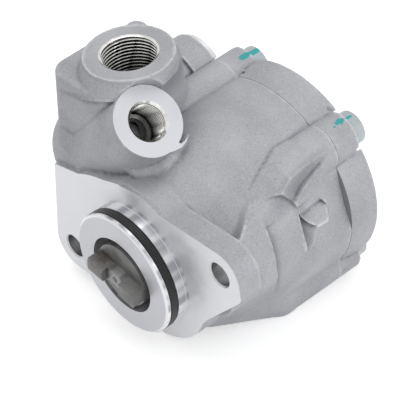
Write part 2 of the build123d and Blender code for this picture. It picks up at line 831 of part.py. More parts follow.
def plug_inner_end():
    return valve_housing_end - plug_recess - plug_thread_length - plug_nose_length


def valve_spring():
    start = valve_seat_depth + spool_length + running_clearance
    end = plug_inner_end() - running_clearance
    return coil(valve_bore_radius - 2.0, spring_wire, start, end, spring_turns)


def relief_spring():
    start = relief_ball_depth() + relief_ball_radius + running_clearance
    end = valve_seat_depth + spool_length - relief_screw_length - running_clearance
    return coil(relief_ball_radius * 0.8, relief_wire, start, end, 3)


def relief_screw():
    end = valve_seat_depth + spool_length
    return valve_tube(spool_cavity_radius() - 0.02, relief_hole_radius, end - relief_screw_length, end)


def valve_plug():
    # A socket plug: a plain nose that carries the seal ring, and the threaded part
    inner = plug_inner_end()
    shoulder = inner + plug_nose_length
    outer = valve_housing_end - plug_recess
    body = valve_rod(valve_bore_radius - 0.05, inner, shoulder)
    body = body + valve_rod(plug_thread_radius - screw_thread_clearance, shoulder, outer)
    middle = inner + plug_nose_length / 2
    body = body - valve_tube(plug_thread_radius, valve_bore_radius - 2 * plug_seal_section,
                             middle - plug_seal_section, middle + plug_seal_section)
    socket = extrude(valve_plane(outer + 1) * RegularPolygon(4.0, 6), 5)
    return body - socket


def valve_plug_seal():
    middle = plug_inner_end() + plug_nose_length / 2
    section = plug_seal_section - 0.04
    return valve_plane(middle) * Torus(valve_bore_radius - plug_seal_section - 0.02, section)


def write(name, shape):
    export_step(shape, "parts/" + name + ".step")


os.makedirs("parts", exist_ok=True)
write("housing", housing())
write("rear_cover", rear_cover())
write("cover_screws", cover_screws())
write("lock_washers", lock_washers())
write("cover_seal", cover_seal())
write("pilot_o_ring", pilot_o_ring())
write("drive_coupling", coupling())
write("drive_shaft", drive_shaft())
write("bearing_retaining_ring", bearing_retaining_ring())
write("bearing_outer_race", bearing_outer_race())
write("bearing_inner_race", bearing_inner_race())
write("bearing_balls", bearing_balls())
write("shaft_seal", shaft_seal())
write("dowel_pins", dowels())
write("front_plate", front_plate())
write("cam_ring", cam_ring())
write("rear_plate", rear_plate())
write("rear_plate_seal", rear_plate_seal())
write("disc_spring", disc_spring())
write("rotor", rotor())
write("rotor_retaining_ring", rotor_retaining_ring())
for number in range(vane_count):
    write(f"vane_{number + 1:02d}", vane(number))
write("rear_bush", rear_bush())
write("flow_spool", flow_spool())
write("flow_spring", valve_spring())
write("relief_ball", relief_ball())
write("relief_spring", relief_spring())
write("relief_screw", relief_screw())
write("valve_plug", valve_plug())
write("valve_plug_seal", valve_plug_seal())
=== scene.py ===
import json
import math
import bmesh
import bpy
import numpy as np
from mathutils import Matrix, Vector

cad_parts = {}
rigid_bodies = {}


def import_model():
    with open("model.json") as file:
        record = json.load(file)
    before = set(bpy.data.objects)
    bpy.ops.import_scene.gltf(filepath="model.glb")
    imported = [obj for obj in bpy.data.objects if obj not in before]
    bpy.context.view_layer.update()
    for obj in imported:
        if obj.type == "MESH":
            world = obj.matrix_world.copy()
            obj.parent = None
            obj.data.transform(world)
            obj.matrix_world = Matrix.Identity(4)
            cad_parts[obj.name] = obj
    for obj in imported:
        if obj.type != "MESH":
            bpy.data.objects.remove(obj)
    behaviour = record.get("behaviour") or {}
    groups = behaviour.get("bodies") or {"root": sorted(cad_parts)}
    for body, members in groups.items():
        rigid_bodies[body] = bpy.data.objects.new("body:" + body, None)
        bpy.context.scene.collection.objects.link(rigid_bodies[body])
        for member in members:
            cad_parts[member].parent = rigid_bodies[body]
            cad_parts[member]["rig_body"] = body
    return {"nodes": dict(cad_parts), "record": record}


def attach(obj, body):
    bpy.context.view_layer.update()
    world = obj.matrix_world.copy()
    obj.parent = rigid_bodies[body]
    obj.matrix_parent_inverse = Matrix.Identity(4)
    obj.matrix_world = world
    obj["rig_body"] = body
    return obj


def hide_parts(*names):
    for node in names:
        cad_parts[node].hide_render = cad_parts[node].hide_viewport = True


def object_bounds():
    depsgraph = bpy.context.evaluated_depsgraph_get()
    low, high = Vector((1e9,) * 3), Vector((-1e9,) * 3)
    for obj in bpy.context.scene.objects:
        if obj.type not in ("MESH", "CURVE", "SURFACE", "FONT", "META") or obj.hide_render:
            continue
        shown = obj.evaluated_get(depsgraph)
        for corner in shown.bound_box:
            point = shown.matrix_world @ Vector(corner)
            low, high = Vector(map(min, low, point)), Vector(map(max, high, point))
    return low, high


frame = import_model()
cadBox = [list(corner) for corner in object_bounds()]
record = frame["record"]
nodes = frame["nodes"]
print("frame loaded:", len(nodes), "nodes")

# Lengths in this file are millimetres until a mesh is written, where they become metres.
# The frame is the part's own: +Y along the shaft to the rear, +Z out of the suction port.
mm = 0.001
slant = math.sqrt(0.5)
portPlace = np.array([-8.5, 20.0, 61.5])          # middle of the pressure port's face
portOut = np.array([slant, 0.0, slant])           # out of the pressure port
portUp = np.array([-slant, 0.0, slant])           # across it, towards the suction neck
suctionPlace = np.array([-34.0, 33.5, 78.5])      # middle of the suction port's face
screwPlaces = ((47.6, 126.5), (46.0, 44.0), (46.0, -53.5), (46.0, -136.0))


def withinBox(d, p):
    # a distance cut back to 0.03 mm inside the CAD model's own box
    low, high = (np.array(corner, np.float32) / mm for corner in cadBox)
    return np.maximum(d, np.maximum(low - p, p - high).max(1) + 0.03)


def polar(radius, angle):
    # a place (x, z) seen along the shaft
    return np.array([radius * math.cos(math.radians(angle)), radius * math.sin(math.radians(angle))])


# Shapes as distances: each takes points (n, 3) and gives the distance to its surface, minus inside

def blendIn(a, b, soft):
    # the nearer of two distances, rounded where they meet over a width of soft
    h = np.clip(0.5 + 0.5 * (b - a) / soft, 0, 1)
    return b * (1 - h) + a * h - soft * h * (1 - h)


def carve(a, b, soft):
    # a with b taken away, the new edge rounded over a width of soft
    return -blendIn(-a, b, soft)


def squared(across, along, edge):
    # a prism from its outline's distance and its length's distance, with its edges rounded by edge
    u, v = across + edge, along + edge
    return np.hypot(np.maximum(u, 0), np.maximum(v, 0)) + np.minimum(np.maximum(u, v), 0) - edge


def outlineDistance(u, v, corners):
    # distance to a closed polygon: to the nearest of its sides, and minus where a ray to the left crosses an
    # odd number of them
    best = np.full(u.shape, 1e9, np.float32)
    inside = np.zeros(u.shape, bool)
    for (au, av), (bu, bv) in zip(corners, np.roll(corners, -1, axis=0)):
        eu, ev = bu - au, bv - av
        wu, wv = u - au, v - av
        t = np.clip((wu * eu + wv * ev) / (eu * eu + ev * ev), 0, 1)
        best = np.minimum(best, (wu - eu * t) ** 2 + (wv - ev * t) ** 2)
        if ev != 0:
            crosses = (av > v) != (bv > v)
            inside ^= crosses & (u < au + eu * (v - av) / ev)
    return np.where(inside, -1, 1) * np.sqrt(best)


def roundBar(p, a, b, ra, rb):
    # a bar with round ends whose radius goes from ra at a to rb at b
    a, b = np.asarray(a, np.float32), np.asarray(b, np.float32)
    ba = b - a
    l2 = float(ba @ ba)
    rr = ra - rb
    a2 = l2 - rr * rr
    pa = p - a
    y = pa @ ba
    z = y - l2
    x2 = ((pa * l2 - np.outer(y, ba)) ** 2).sum(1)
    y2, z2 = y * y * l2, z * z * l2
    k = math.copysign(rr * rr, rr) * x2
    side = (np.sqrt(x2 * a2 / l2) + y * rr) / l2 - ra
    return np.where(np.sign(z) * a2 * z2 > k, np.sqrt(x2 + z2) / l2 - rb,
                    np.where(np.sign(y) * a2 * y2 < k, np.sqrt(x2 + y2) / l2 - ra, side))


def arcPoints(centre, radius, start, end, count):
    # points on a circle from start to end, in degrees
    a = np.radians(np.linspace(start, end, count))
    return [(centre[0] + radius * math.cos(t), centre[1] + radius * math.sin(t)) for t in a]


mountHole = dict(place=(58.0, 23.0), profile=[(0, -1), (7.35, -1), (5.75, 0.6), (5.75, 33), (0, 33)])

# The housing's forms. A bead's point is (x, y, z, radius), a screw ridge's is (place, distance along the
# shaft, radius), and outlines on the right side are (back, up) or, for the thick wall, (back, round the bell)
casting = dict(
    step=0.95, room=((-75.7, -5.4, -52.3), (69, 86, 84)), back=84, front=2.2,
    bell=[(0, -3), (39, -3), (39, 9), (39.7, 13.5), (41.6, 18.5), (43.9, 24), (46, 30), (47.6, 36),
          (48.6, 43), (49, 50), (49, 83), (0, 83)],
    flange=dict(thickness=12.5, spare=3, edge=1.3, disc=39.3, discDrop=0.75),
    tower=dict(top=71.8, foot=26.0, bottom=20, left=-61.5, lean=4.5, right=-19.0, middle=33.5, half=25.5,
               corner=17.0, frontCorner=9.0, sharper=4.0, edge=1.8),
    neck=dict(z=[20, 63.5, 66.8, 77, 81], x=[-37, -37, -37, -34, -34], y=[32, 32, 31.6, 33.5, 33.5],
              radius=[20.8, 20.8, 24.6, 20.8, 20.8], tilt=0.3, tiltBelow=78, tiltOver=11, middle=50.5,
              half=30),
    barrel=dict(depth=[-1.5, 3, 8, 13, 18, 64], radius=[16.1, 16.5, 17.4, 18.8, 20.0, 20.0],
                flatDepth=[3, 18], flatter=[1, 1.19], middle=31.5, half=33),
    barrelEnd=dict(across=3.5, up=4.0, radius=23, depth=56, half=9, edge=6.0),
    barrelRoom=dict(radius=16.7, depth=0.2),
    side=dict(turn=11.5, level=45.4, back=80, taper=0.105, crown=0.004, front=38, half=17),
    sideBlock=dict(proud=[(9, -30), (9, 19), (22, 23), (26, 26.5), (31, 28.3), (35.5, 28.3), (35.5, -30)],
                   raised=[(25, 22), (26, 26.5), (30, 30.2), (33, 32.2), (39, 33.9), (54, 33.9), (54, 22)],
                   around=0.82, proudRadius=48.1, raisedRadius=47.7, fall=0.014, fallFrom=-2),
    ridges=[dict(soft=1.5, chain=[(screwPlaces[0], 83, 11), (screwPlaces[0], 50, 11),
                                  ((38.5, 126.5), 32, 5)]),
            dict(soft=0.5, chain=[(screwPlaces[1], 83, 11), ((45.6, 44), 72, 10.8), ((43, 43.5), 60, 9.6),
                                  ((38, 41), 45, 8)]),
            dict(soft=4.0, chain=[(screwPlaces[2], 83, 11), (screwPlaces[2], 50, 11), ((35, -53.5), 17, 8)]),
            dict(soft=4.0, chain=[(screwPlaces[3], 83, 11), (screwPlaces[3], 52, 11), ((36, -136), 30, 6)])],
    screwRidge=dict(back=[38, 42, 47, 53, 62, 70], turn=[50, 54, 65, 73.5, 76.5, 78],
                    reach=[46.6, 47.6, 47.3, 46.6, 46.4, 45.8],
                    innerBack=[38, 42, 47, 53, 62], inner=[47, 49.5, 52.5, 56, 60],
                    outerBack=[38, 42, 47, 51, 53, 58], outer=[40, 38, 36, 31, 25, 15],
                    foot=12, middle=58, half=20.5),
    flank=dict(leanBack=[45, 53, 60], lean=[12, 5, -1],
               wallBack=[42, 45, 47, 53, 60, 66, 70, 74], wall=[51, 49, 48, 45.6, 41.8, 41.5, 41.7, 42.4],
               ledgeBack=[42, 47, 50, 53, 58.5, 65, 70, 74],
               ledge=[40, 38, 36.5, 35.5, 39.1, 41.1, 43.2, 46.4],
               ledgeFaces=(0.259, 0.966), middle=58, half=16),
    shelf=dict(radius=46.5, back=35.5, rise=0.33, middle=39.0, half=3.5, angle=6, halfAngle=19),
    pocket=dict(outline=[(53.0, 8.2), (53.0, -15), (55, -15), (59, -8), (61.5, -2.5), (61.5, 7.5)],
                depth=7.5, over=15, most=1.15, back=53.0, rise=0.72),
    notch=dict(outline=[(53.4, 8.6), (66.8, 9.0), (70.4, 2.2), (66.5, -2.9), (60.6, -2.8), (57.0, 1.2)],
               lip=8.6, lipBack=53.4, lipRise=0.03, upperSlope=0.62, lowerSlope=0.58, fold=2.6, foot=40),
    rearBoss=dict(x=-48.0, z=36.0,
                  section=[(0, 54), (15.4, 54), (15.6, 67.6), (17.6, 67.6), (17.6, 84), (0, 84)]),
    lump=[(-49.6, 49.6, 56, 6.6), (-51.2, 51.4, 69.9, 6.2)],
    valley=[(26.3, 81, 42.1, 0.9), (26.7, 68.4, 41.7, 0.9), (26.2, 59.2, 41.9, 0.9), (29.0, 50.8, 39.8, 0.9),
            (31.9, 41.7, 36.8, 0.9), (33.3, 36.8, 35.2, 0.9)],
    skirt=[(-2.2, 30.0, 46.0, 3.0), (-0.9, 23.5, 43.8, 3.0), (-0.8, 19.6, 41.8, 2.6),
           (-3.1, 15.8, 40.4, 2.4), (-5.9, 12.6, 39.7, 2.3), (-8.8, 9.8, 39.6, 1.9), (-11.6, 8.0, 40.6, 1.2)])


def flangeOutline():
    # two lobes on the line of the mounting holes, a disc, a bowed left shoulder and one edge at 45 degrees
    hole = polar(*mountHole["place"])
    points = [(-57.4, 24.5)]
    points += arcPoints((-9.8, -29.2), 64.6, 118.0, 101.0, 6)
    points += [(-10.0, 37.5), (0, 29.0), (18, 35.0), (hole[0], 35.0)]
    points += arcPoints(hole, 12.3, 84, 0, 10)
    points += [(65.7, 17.5)]
    points += arcPoints((59.7, 16.8), 6.0, -8, -45, 5)
    points += [(37.5, -14.0), (18.75, -29.3), (-18.75, -35.2)]
    points += arcPoints(-hole, 12.5, 270, 168.3, 12)
    return np.array(points, np.float32)


def valveSpace(p):
    # depth into the pressure port and the two distances across its axis
    w = p - portPlace.astype(np.float32)
    return -(w @ portOut.astype(np.float32)), w[:, 1], w @ portUp.astype(np.float32)


def bellDistance(p):
    # the turned bell
    return outlineDistance(np.hypot(p[:, 0], p[:, 2]), p[:, 1], casting["bell"])


def flangeDistance(p):
    # the mounting flange: its outline, with edges rounded, pulled along the shaft
    x, y, z = p.T
    f = casting["flange"]
    outline = outlineDistance(x, z, flangeOutline())
    outline = blendIn(outline, np.hypot(x, z + f["discDrop"]) - f["disc"], 2.0)
    middle, half = (f["thickness"] - f["spare"]) / 2, (f["thickness"] + f["spare"]) / 2
    return squared(outline, np.abs(y - middle) - half, f["edge"])


def towerDistance(p):
    # the block under the suction port: a rounded rectangle whose left wall leans out downwards
    x, y, z = p.T
    f = casting["tower"]
    t = np.clip((f["top"] - z) / (f["top"] - f["foot"]), 0, 1)
    left = f["left"] - f["lean"] * t
    cx, hx = (left + f["right"]) / 2, (f["right"] - left) / 2
    cy, hy = f["middle"], f["half"]
    corner = np.where((x < cx) & (y < cy), f["frontCorner"] - f["sharper"] * t, f["corner"])
    qx, qy = np.abs(x - cx) - hx + corner, np.abs(y - cy) - hy + corner
    plan = np.hypot(np.maximum(qx, 0), np.maximum(qy, 0)) + np.minimum(np.maximum(qx, qy), 0) - corner
    middle = (f["top"] + f["bottom"]) / 2
    return squared(plan, np.abs(z - middle) - (f["top"] - middle), f["edge"])


def neckDistance(p):
    # the round neck of the suction port, which leans and widens downwards
    x, y, z = p.T
    f = casting["neck"]
    height = z - f["tilt"] * (x - f["x"][0]) * np.clip((f["tiltBelow"] - z) / f["tiltOver"], 0, 1)
    radius = np.interp(height, f["z"], f["radius"])
    across = np.hypot(x - np.interp(height, f["z"], f["x"]), y - np.interp(height, f["z"], f["y"])) - radius
    return squared(across * 0.9, np.abs(z - f["middle"]) - f["half"], 1.0)


def barrelDistance(p):
    # the valve housing: a round bar on the pressure port's axis, and the thick boss at its hidden end
    depth, across, up = valveSpace(p)
    f, end = casting["barrel"], casting["barrelEnd"]
    flatter = np.interp(depth, f["flatDepth"], f["flatter"])
    wide = np.hypot(np.where(across < 0, across * flatter, across), up)
    radial = wide - np.interp(depth, f["depth"], f["radius"])
    bar = squared(radial * 0.96, np.abs(depth - f["middle"]) - f["half"], 1.0)
    boss = squared(np.hypot(across - end["across"], up - end["up"]) - end["radius"],
                   np.abs(depth - end["depth"]) - end["half"], end["edge"])
    return blendIn(bar, boss, 5.0)


def chainDistance(p, points, blend, wider=0.001):
    # round bars from point to point, each point (x, y, z, radius), and a bar's far end is a trace wider
    total = None
    for a, b in zip(points, points[1:]):
        bar = roundBar(p, a[:3], b[:3], a[3], b[3] + wider)
        total = bar if total is None else blendIn(total, bar, blend)
    return total


def sideSpace(p):
    # outward, rearward and upward distances on the planed right side
    turn = math.radians(casting["side"]["turn"])
    out = np.array([math.cos(turn), 0, math.sin(turn)], np.float32)
    up = np.array([-out[2], 0, out[0]], np.float32)
    return p @ out, p[:, 1], p @ up


def sideLevel(back, up):
    # how far out the planed right side stands
    f = casting["side"]
    return f["level"] + (f["back"] - back) * f["taper"] + up * up * f["crown"]


def sideBlockDistance(p):
    # the thick wall behind the flange: outlines drawn on a round bar, one proud, one behind it and higher up
    x, y, z = p.T
    f = casting["sideBlock"]
    angle = np.degrees(np.arctan2(z, x))
    around, across = np.clip(angle, -90, 90) * f["around"], np.hypot(x, z)
    fall = f["fall"] * np.maximum(f["fallFrom"] - angle, 0) ** 2
    proud = squared(outlineDistance(y, around, f["proud"]), across - f["proudRadius"] + fall, 0.6)
    raised = squared(outlineDistance(y, around, f["raised"]), across - f["raisedRadius"], 1.0)
    return np.minimum(proud, raised)


def screwRidgeDistance(p):
    # the right ridge: under a plane that turns upwards as it goes back, and inside the planed side
    f = casting["screwRidge"]
    out, back, up = sideSpace(p)
    x, z = p[:, 0], p[:, 2]
    turn = np.radians(np.interp(back, f["back"], f["turn"]))
    top = x * np.cos(turn) + z * np.sin(turn) - np.interp(back, f["back"], f["reach"])
    inner = np.radians(np.interp(back, f["innerBack"], f["inner"]))
    outer = np.radians(np.interp(back, f["outerBack"], f["outer"]))
    wedge = np.maximum(z * np.cos(inner) - x * np.sin(inner), x * np.sin(outer) - z * np.cos(outer))
    body = np.maximum(np.maximum(top, out - sideLevel(back, up) - 0.1), np.maximum(f["foot"] - up, wedge))
    return np.maximum(body, np.abs(back - f["middle"]) - f["half"])


def flankDistance(p):
    # what is cut from the right ridge: all that is right of a steep wall and above a ledge
    x, y, z = p.T
    f = casting["flank"]
    lean = np.radians(np.interp(y, f["leanBack"], f["lean"]))
    wall = np.interp(y, f["wallBack"], f["wall"])
    ledge = np.interp(y, f["ledgeBack"], f["ledge"])
    ledgeX, ledgeZ = f["ledgeFaces"]
    cut = np.maximum(wall - x * np.cos(lean) - z * np.sin(lean), ledge - x * ledgeX - z * ledgeZ)
    return np.maximum(cut, np.abs(y - f["middle"]) - f["half"])


def shelfDistance(p):
    # what is cut behind the thick wall: a groove round the bell that gets shallower to the rear
    x, y, z = p.T
    f = casting["shelf"]
    floor = f["radius"] + (y - f["back"]) * f["rise"]
    angle = np.degrees(np.arctan2(z, x))
    ends = np.maximum(np.abs(y - f["middle"]) - f["half"], np.abs(angle - f["angle"]) - f["halfAngle"])
    return np.maximum(floor - np.hypot(x, z), ends)


def withRidges(d, p):
    # the four ridges that carry the cover's screws, each a chain of round bars, melted into the bell
    for ridge in casting["ridges"]:
        points = []
        for place, back, radius in ridge["chain"]:
            x, z = polar(*place)
            points.append((x, back, z, radius))
        d = blendIn(d, chainDistance(p, points, 1.0, 0), ridge["soft"])
    return d


def withPocket(d, p):
    # the pocket in the planed side, and the notch above it whose lower face leans out
    out, back, up = sideSpace(p)
    level = sideLevel(back, up)
    f = casting["pocket"]
    pocket = outlineDistance(back, up, f["outline"])
    floor = level - f["depth"] * np.clip(1 + up / f["over"], 0, f["most"]) + (back - f["back"]) * f["rise"]
    d = carve(d, np.maximum(pocket, floor - out), 0.5)
    f = casting["notch"]
    notch = outlineDistance(back, up, f["outline"])
    fromLip = f["lip"] + (back - f["lipBack"]) * f["lipRise"] - up
    upper = level - f["upperSlope"] * fromLip
    lower = level - f["fold"] + f["lowerSlope"] * (fromLip - f["fold"])
    face = np.maximum(upper, lower)
    d = carve(d, np.maximum(notch, face - out), 0.25)
    return blendIn(d, np.maximum(notch, np.maximum(out - face, f["foot"] - out)), 0.25)


def housingDistance(p):
    # the raw casting of the housing, every form melted into the next
    x, y, z = p.T
    d = withRidges(bellDistance(p), p)
    d = blendIn(d, screwRidgeDistance(p), 1.2)
    out, back, up = sideSpace(p)
    side = casting["side"]
    planed = np.maximum(side["front"] - back, np.abs(up) - side["half"])
    d = carve(d, np.maximum(sideLevel(back, up) - out, planed), 0.6)
    d = carve(d, flankDistance(p), 0.8)
    d = carve(d, chainDistance(p, casting["valley"], 0.3), 1.2)
    d = blendIn(d, sideBlockDistance(p), 2.5)
    d = carve(d, shelfDistance(p), 0.3)
    d = withPocket(d, p)
    d = blendIn(d, towerDistance(p), 2.0)
    d = blendIn(d, neckDistance(p), 0.8)
    depth, across, lift = valveSpace(p)
    room = casting["barrelRoom"]
    d = carve(d, np.maximum(np.hypot(across, lift) - room["radius"], depth - room["depth"]), 0.5)
    d = blendIn(d, barrelDistance(p), 0.5)
    d = blendIn(d, chainDistance(p, casting["skirt"], 2.4), 1.6)
    d = blendIn(d, chainDistance(p, casting["lump"], 0, 0), 0.8)
    boss = casting["rearBoss"]
    d = blendIn(d, outlineDistance(np.hypot(x - boss["x"], z - boss["z"]), y, boss["section"]), 0.5)
    d = np.maximum(d, casting["front"] - y)
    d = blendIn(d, flangeDistance(p), 1.6)
    return withinBox(np.maximum(d, y - casting["back"]), p)


coverForm = dict(room=((-54, 74, -54), (54, 98, 54)), y=[80, 88], radius=[49.15, 50.5], middle=86, half=10,
                 rim=2.5, lobe=dict(radius=11, middle=84.5, half=8.5), spotFace=dict(radius=10.6, y=92),
                 pitRun=(0.9, 0.7, -0.8),
                 pits=[(26.9, 92.6, 43.3, 1.3), (43.6, 92.3, 28.4, 1.1), (-19.6, 82.6, 46.2, 0.9),
                       (38.6, 85.6, -34, 1.0), (38.4, 82.4, -39.4, 1.1)])


def coverDistance(p):
    # the rear cover: a disc that widens behind the joint, its rim rounded, a lobe for each screw, and pits
    x, y, z = p.T
    f, lobe = coverForm, coverForm["lobe"]
    radius = np.interp(y, f["y"], f["radius"])
    d = squared(np.hypot(x, z) - radius, np.abs(y - f["middle"]) - f["half"], f["rim"])
    for place in screwPlaces:
        cx, cz = polar(*place)
        across = np.hypot(x - cx, z - cz) - lobe["radius"]
        d = blendIn(d, squared(across, np.abs(y - lobe["middle"]) - lobe["half"], 1.0), 0.6)
    for pit in f["pits"]:
        end = [a + b for a, b in zip(pit, f["pitRun"])]
        d = carve(d, roundBar(p, pit[:3], end, pit[3], pit[3] * 0.8), 0.4)
    return withinBox(d, p)


def slopeOf(distance, points, nudge=0.04):
    # the distance's gradient, by small steps to each side
    slope = np.empty((len(points), 3))
    for axis in range(3):
        step = np.zeros(3, np.float32)
        step[axis] = nudge
        slope[:, axis] = (distance(points + step) - distance(points - step)) / (2 * nudge)
    return slope


def skinOn(distance, low, high, step):
    # A skin on a distance's zero. Each grid cell that the surface crosses gets one point, the nearest in
    # least squares to the tangent planes where the surface cuts the cell's edges, so that edges stay crisp.
    # Each grid edge that is cut gives a face of the four cells round it.
    axes = [np.arange(a, b + step, step, dtype=np.float32) for a, b in zip(low, high)]
    shape = tuple(len(a) for a in axes)
    origin = np.array([a[0] for a in axes], np.float32)
    slab = []
    for x in axes[0]:
        yy, zz = np.meshgrid(axes[1], axes[2], indexing="ij")
        slab.append(distance(np.column_stack([np.full(yy.size, x, np.float32), yy.ravel(), zz.ravel()])))
    value = np.array(slab, np.float32).reshape(shape)
    cells = tuple(n - 1 for n in shape)
    owners, cuts, slopes, quads = [], [], [], []
    for axis in range(3):
        u, v = [a for a in range(3) if a != axis]
        lower = np.take(value, range(shape[axis] - 1), axis)
        upper = np.take(value, range(1, shape[axis]), axis)
        place = np.argwhere((lower < 0) != (upper < 0))
        inner = (place[:, u] > 0) & (place[:, v] > 0) & (place[:, u] < cells[u]) & (place[:, v] < cells[v])
        place = place[inner]
        a, b = lower[tuple(place.T)], upper[tuple(place.T)]
        cut = place.astype(np.float32)
        cut[:, axis] += a / (a - b)
        cut = origin + cut * step
        slope = slopeOf(distance, cut)
        slope /= np.maximum(np.linalg.norm(slope, axis=1), 1e-3)[:, None]
        quad = []
        for du, dv in ((-1, -1), (0, -1), (0, 0), (-1, 0)):
            at = place.copy()
            at[:, u] += du
            at[:, v] += dv
            quad.append(np.ravel_multi_index(tuple(at.T), cells))
            owners.append(quad[-1])
            cuts.append(cut)
            slopes.append(slope)
        quad = np.array(quad).T
        turned = (a < 0) if axis != 1 else (a >= 0)
        quad[~turned] = quad[~turned][:, ::-1]
        quads.append(quad)
    used, owner = np.unique(np.concatenate(owners), return_inverse=True)
    cuts, slopes = np.vstack(cuts).astype(float), np.vstack(slopes)

    def gathered(weights):
        return np.bincount(owner, weights, len(used))

    count = gathered(None)
    middle = np.column_stack([gathered(cuts[:, i]) for i in range(3)]) / count[:, None]
    away = (slopes * (cuts - middle[owner])).sum(1)
    square = np.empty((len(used), 3, 3))
    for i in range(3):
        for j in range(3):
            square[:, i, j] = gathered(slopes[:, i] * slopes[:, j]) + (0.08 if i == j else 0)
    pull = np.column_stack([gathered(slopes[:, i] * away) for i in range(3)])
    points = middle + np.linalg.solve(square, pull[..., None])[..., 0]
    corner = origin + np.column_stack(np.unravel_index(used, cells)) * step
    points = np.clip(points, corner, corner + step)
    return points.astype(np.float32), np.searchsorted(used, np.vstack(quads))


def edgesPaired(faces):
    # whether each edge has exactly two faces
    ends = np.sort(np.vstack([faces[:, [i, (i + 1) % 4]] for i in range(4)]), axis=1)
    return (np.unique(ends, axis=0, return_counts=True)[1] == 2).all()


def shellFrom(distance, low, high, step):
    # a closed skin on a distance's zero: the grid is moved a little until two walls share no edge
    for shift in (0, 0.31, 0.17, 0.43, 0.73, 0.59):
        points, faces = skinOn(distance, [v - shift * step for v in low], high, step)
        if edgesPaired(faces):
            break
    return points, faces


def placed(name, data):
    # a new object in the scene
    piece = bpy.data.objects.new(name, data)
    bpy.context.scene.collection.objects.link(piece)
    return piece


def writeMesh(name, points, faces, materials):
    # a mesh from points in millimetres and faces of three or four corners
    mesh = bpy.data.meshes.new(name)
    faces = np.asarray(faces)
    sides = faces.shape[1]
    mesh.vertices.add(len(points))
    mesh.vertices.foreach_set("co", (np.asarray(points, np.float32) * mm).ravel())
    mesh.loops.add(faces.size)
    mesh.loops.foreach_set("vertex_index", faces.astype(np.int32).ravel())
    mesh.polygons.add(len(faces))
    mesh.polygons.foreach_set("loop_start", np.arange(0, faces.size, sides, dtype=np.int32))
    mesh.update(calc_edges=True)
    mesh.validate()
    for material in materials:
        mesh.materials.append(material)
    return placed(name, mesh)


def gridFaces(rows, columns, loopRows, loopColumns):
    # faces of a grid of points, joined round where a direction is a loop
    i = np.arange(rows if loopRows else rows - 1)
    j = np.arange(columns if loopColumns else columns - 1)
    a, b = np.meshgrid(i, j, indexing="ij")
    a, b = a.ravel(), b.ravel()
    c, d = (a + 1) % rows, (b + 1) % columns
    return np.column_stack([a * columns + b, a * columns + d, c * columns + d, c * columns + b])


def turnedMesh(name, profile, origin, axis, sideways, segments, materials):
    # A closed body turned about an axis: each (radius, distance) of the profile goes round in a circle
    profile = np.asarray(profile, float)
    origin, axis, sideways = (np.asarray(v, float) for v in (origin, axis, sideways))
    third = np.cross(axis, sideways)
    t = np.linspace(0, 2 * math.pi, segments, endpoint=False)
    ring = np.cos(t)[:, None] * sideways + np.sin(t)[:, None] * third
    points = origin + profile[:, None, 1:] * axis + profile[:, None, :1] * ring[None]
    faces = gridFaces(len(profile), segments, profile[0, 0] > 0 and profile[-1, 0] > 0, True)
    return mended(writeMesh(name, points.reshape(-1, 3), faces, materials))


def mended(piece, joinWithin=1e-6, flatWithin=None, fill=False):
    # merges what coincides, joins faces that are flat within some degrees, fills open rings, and turns every
    # face outwards
    work = bmesh.new()
    work.from_mesh(piece.data)
    if joinWithin is not None:
        bmesh.ops.remove_doubles(work, verts=work.verts, dist=joinWithin)
    if flatWithin is not None:
        bend = math.radians(flatWithin)
        bmesh.ops.dissolve_limit(work, angle_limit=bend, verts=work.verts, edges=work.edges)
    if fill:
        bmesh.ops.holes_fill(work, edges=[e for e in work.edges if e.is_boundary], sides=0)
    bmesh.ops.recalc_face_normals(work, faces=work.faces)
    work.to_mesh(piece.data)
    work.free()
    piece.data.update()
    return piece


def threadPoints(radius, depth, pitch, start, end, segments, runOut):
    # a threaded wall: the radius follows a clipped triangle wave that climbs one pitch in each turn, and the
    # wave fades out over the length of runOut at each end
    rows = int((end - start) / pitch * 10) + 1
    s = np.linspace(start, end, rows)
    t = np.linspace(0, 2 * math.pi, segments, endpoint=False)
    phase = (s[:, None] / pitch + t[None] / (2 * math.pi)) % 1
    wave = np.clip(1.25 - np.abs(phase - 0.5) * 3.0, 0, 1)
    fade = np.clip((s - start) / runOut, 0, 1) * np.clip((end - s) / runOut, 0, 1)
    return s, t, radius + depth * wave * fade[:, None]


def threadCutter(name, origin, inward, sideways, mouth, thread, below, material):
    # the tool that cuts a port: a cone at the mouth, the thread, and the plain bore under it
    s, t, radial = threadPoints(**thread, runOut=thread["pitch"])
    origin, inward, sideways = (np.asarray(v, float) for v in (origin, inward, sideways))
    third = np.cross(inward, sideways)
    before, after = np.array(mouth, float), np.array(below, float)
    s = np.concatenate([before[:, 1], s, after[:, 1]])
    radial = np.vstack([np.repeat(before[:, :1], len(t), 1), radial, np.repeat(after[:, :1], len(t), 1)])
    ring = np.cos(t)[:, None] * sideways + np.sin(t)[:, None] * third
    points = origin + s[:, None, None] * inward + radial[..., None] * ring[None]
    piece = writeMesh(name, points.reshape(-1, 3), gridFaces(len(s), len(t), False, True), [material])
    return mended(piece, joinWithin=None, fill=True)


def machine(piece, tools, operation="DIFFERENCE"):
    # each tool is taken from the piece, or added to it, and leaves its own finish on the new faces
    for tool in tools:
        step = piece.modifiers.new("cut", "BOOLEAN")
        step.operation = operation
        step.object = tool
        step.solver = "MANIFOLD"
        step.material_mode = "TRANSFER"
        bpy.context.view_layer.update()
        result = bpy.data.meshes.new_from_object(piece.evaluated_get(bpy.context.evaluated_depsgraph_get()))
        piece.modifiers.clear()
        old = piece.data
        piece.data = result
        bpy.data.meshes.remove(old)
        print("   ", operation.lower(), tool.name, len(piece.data.polygons), "faces")
        bpy.data.objects.remove(tool)


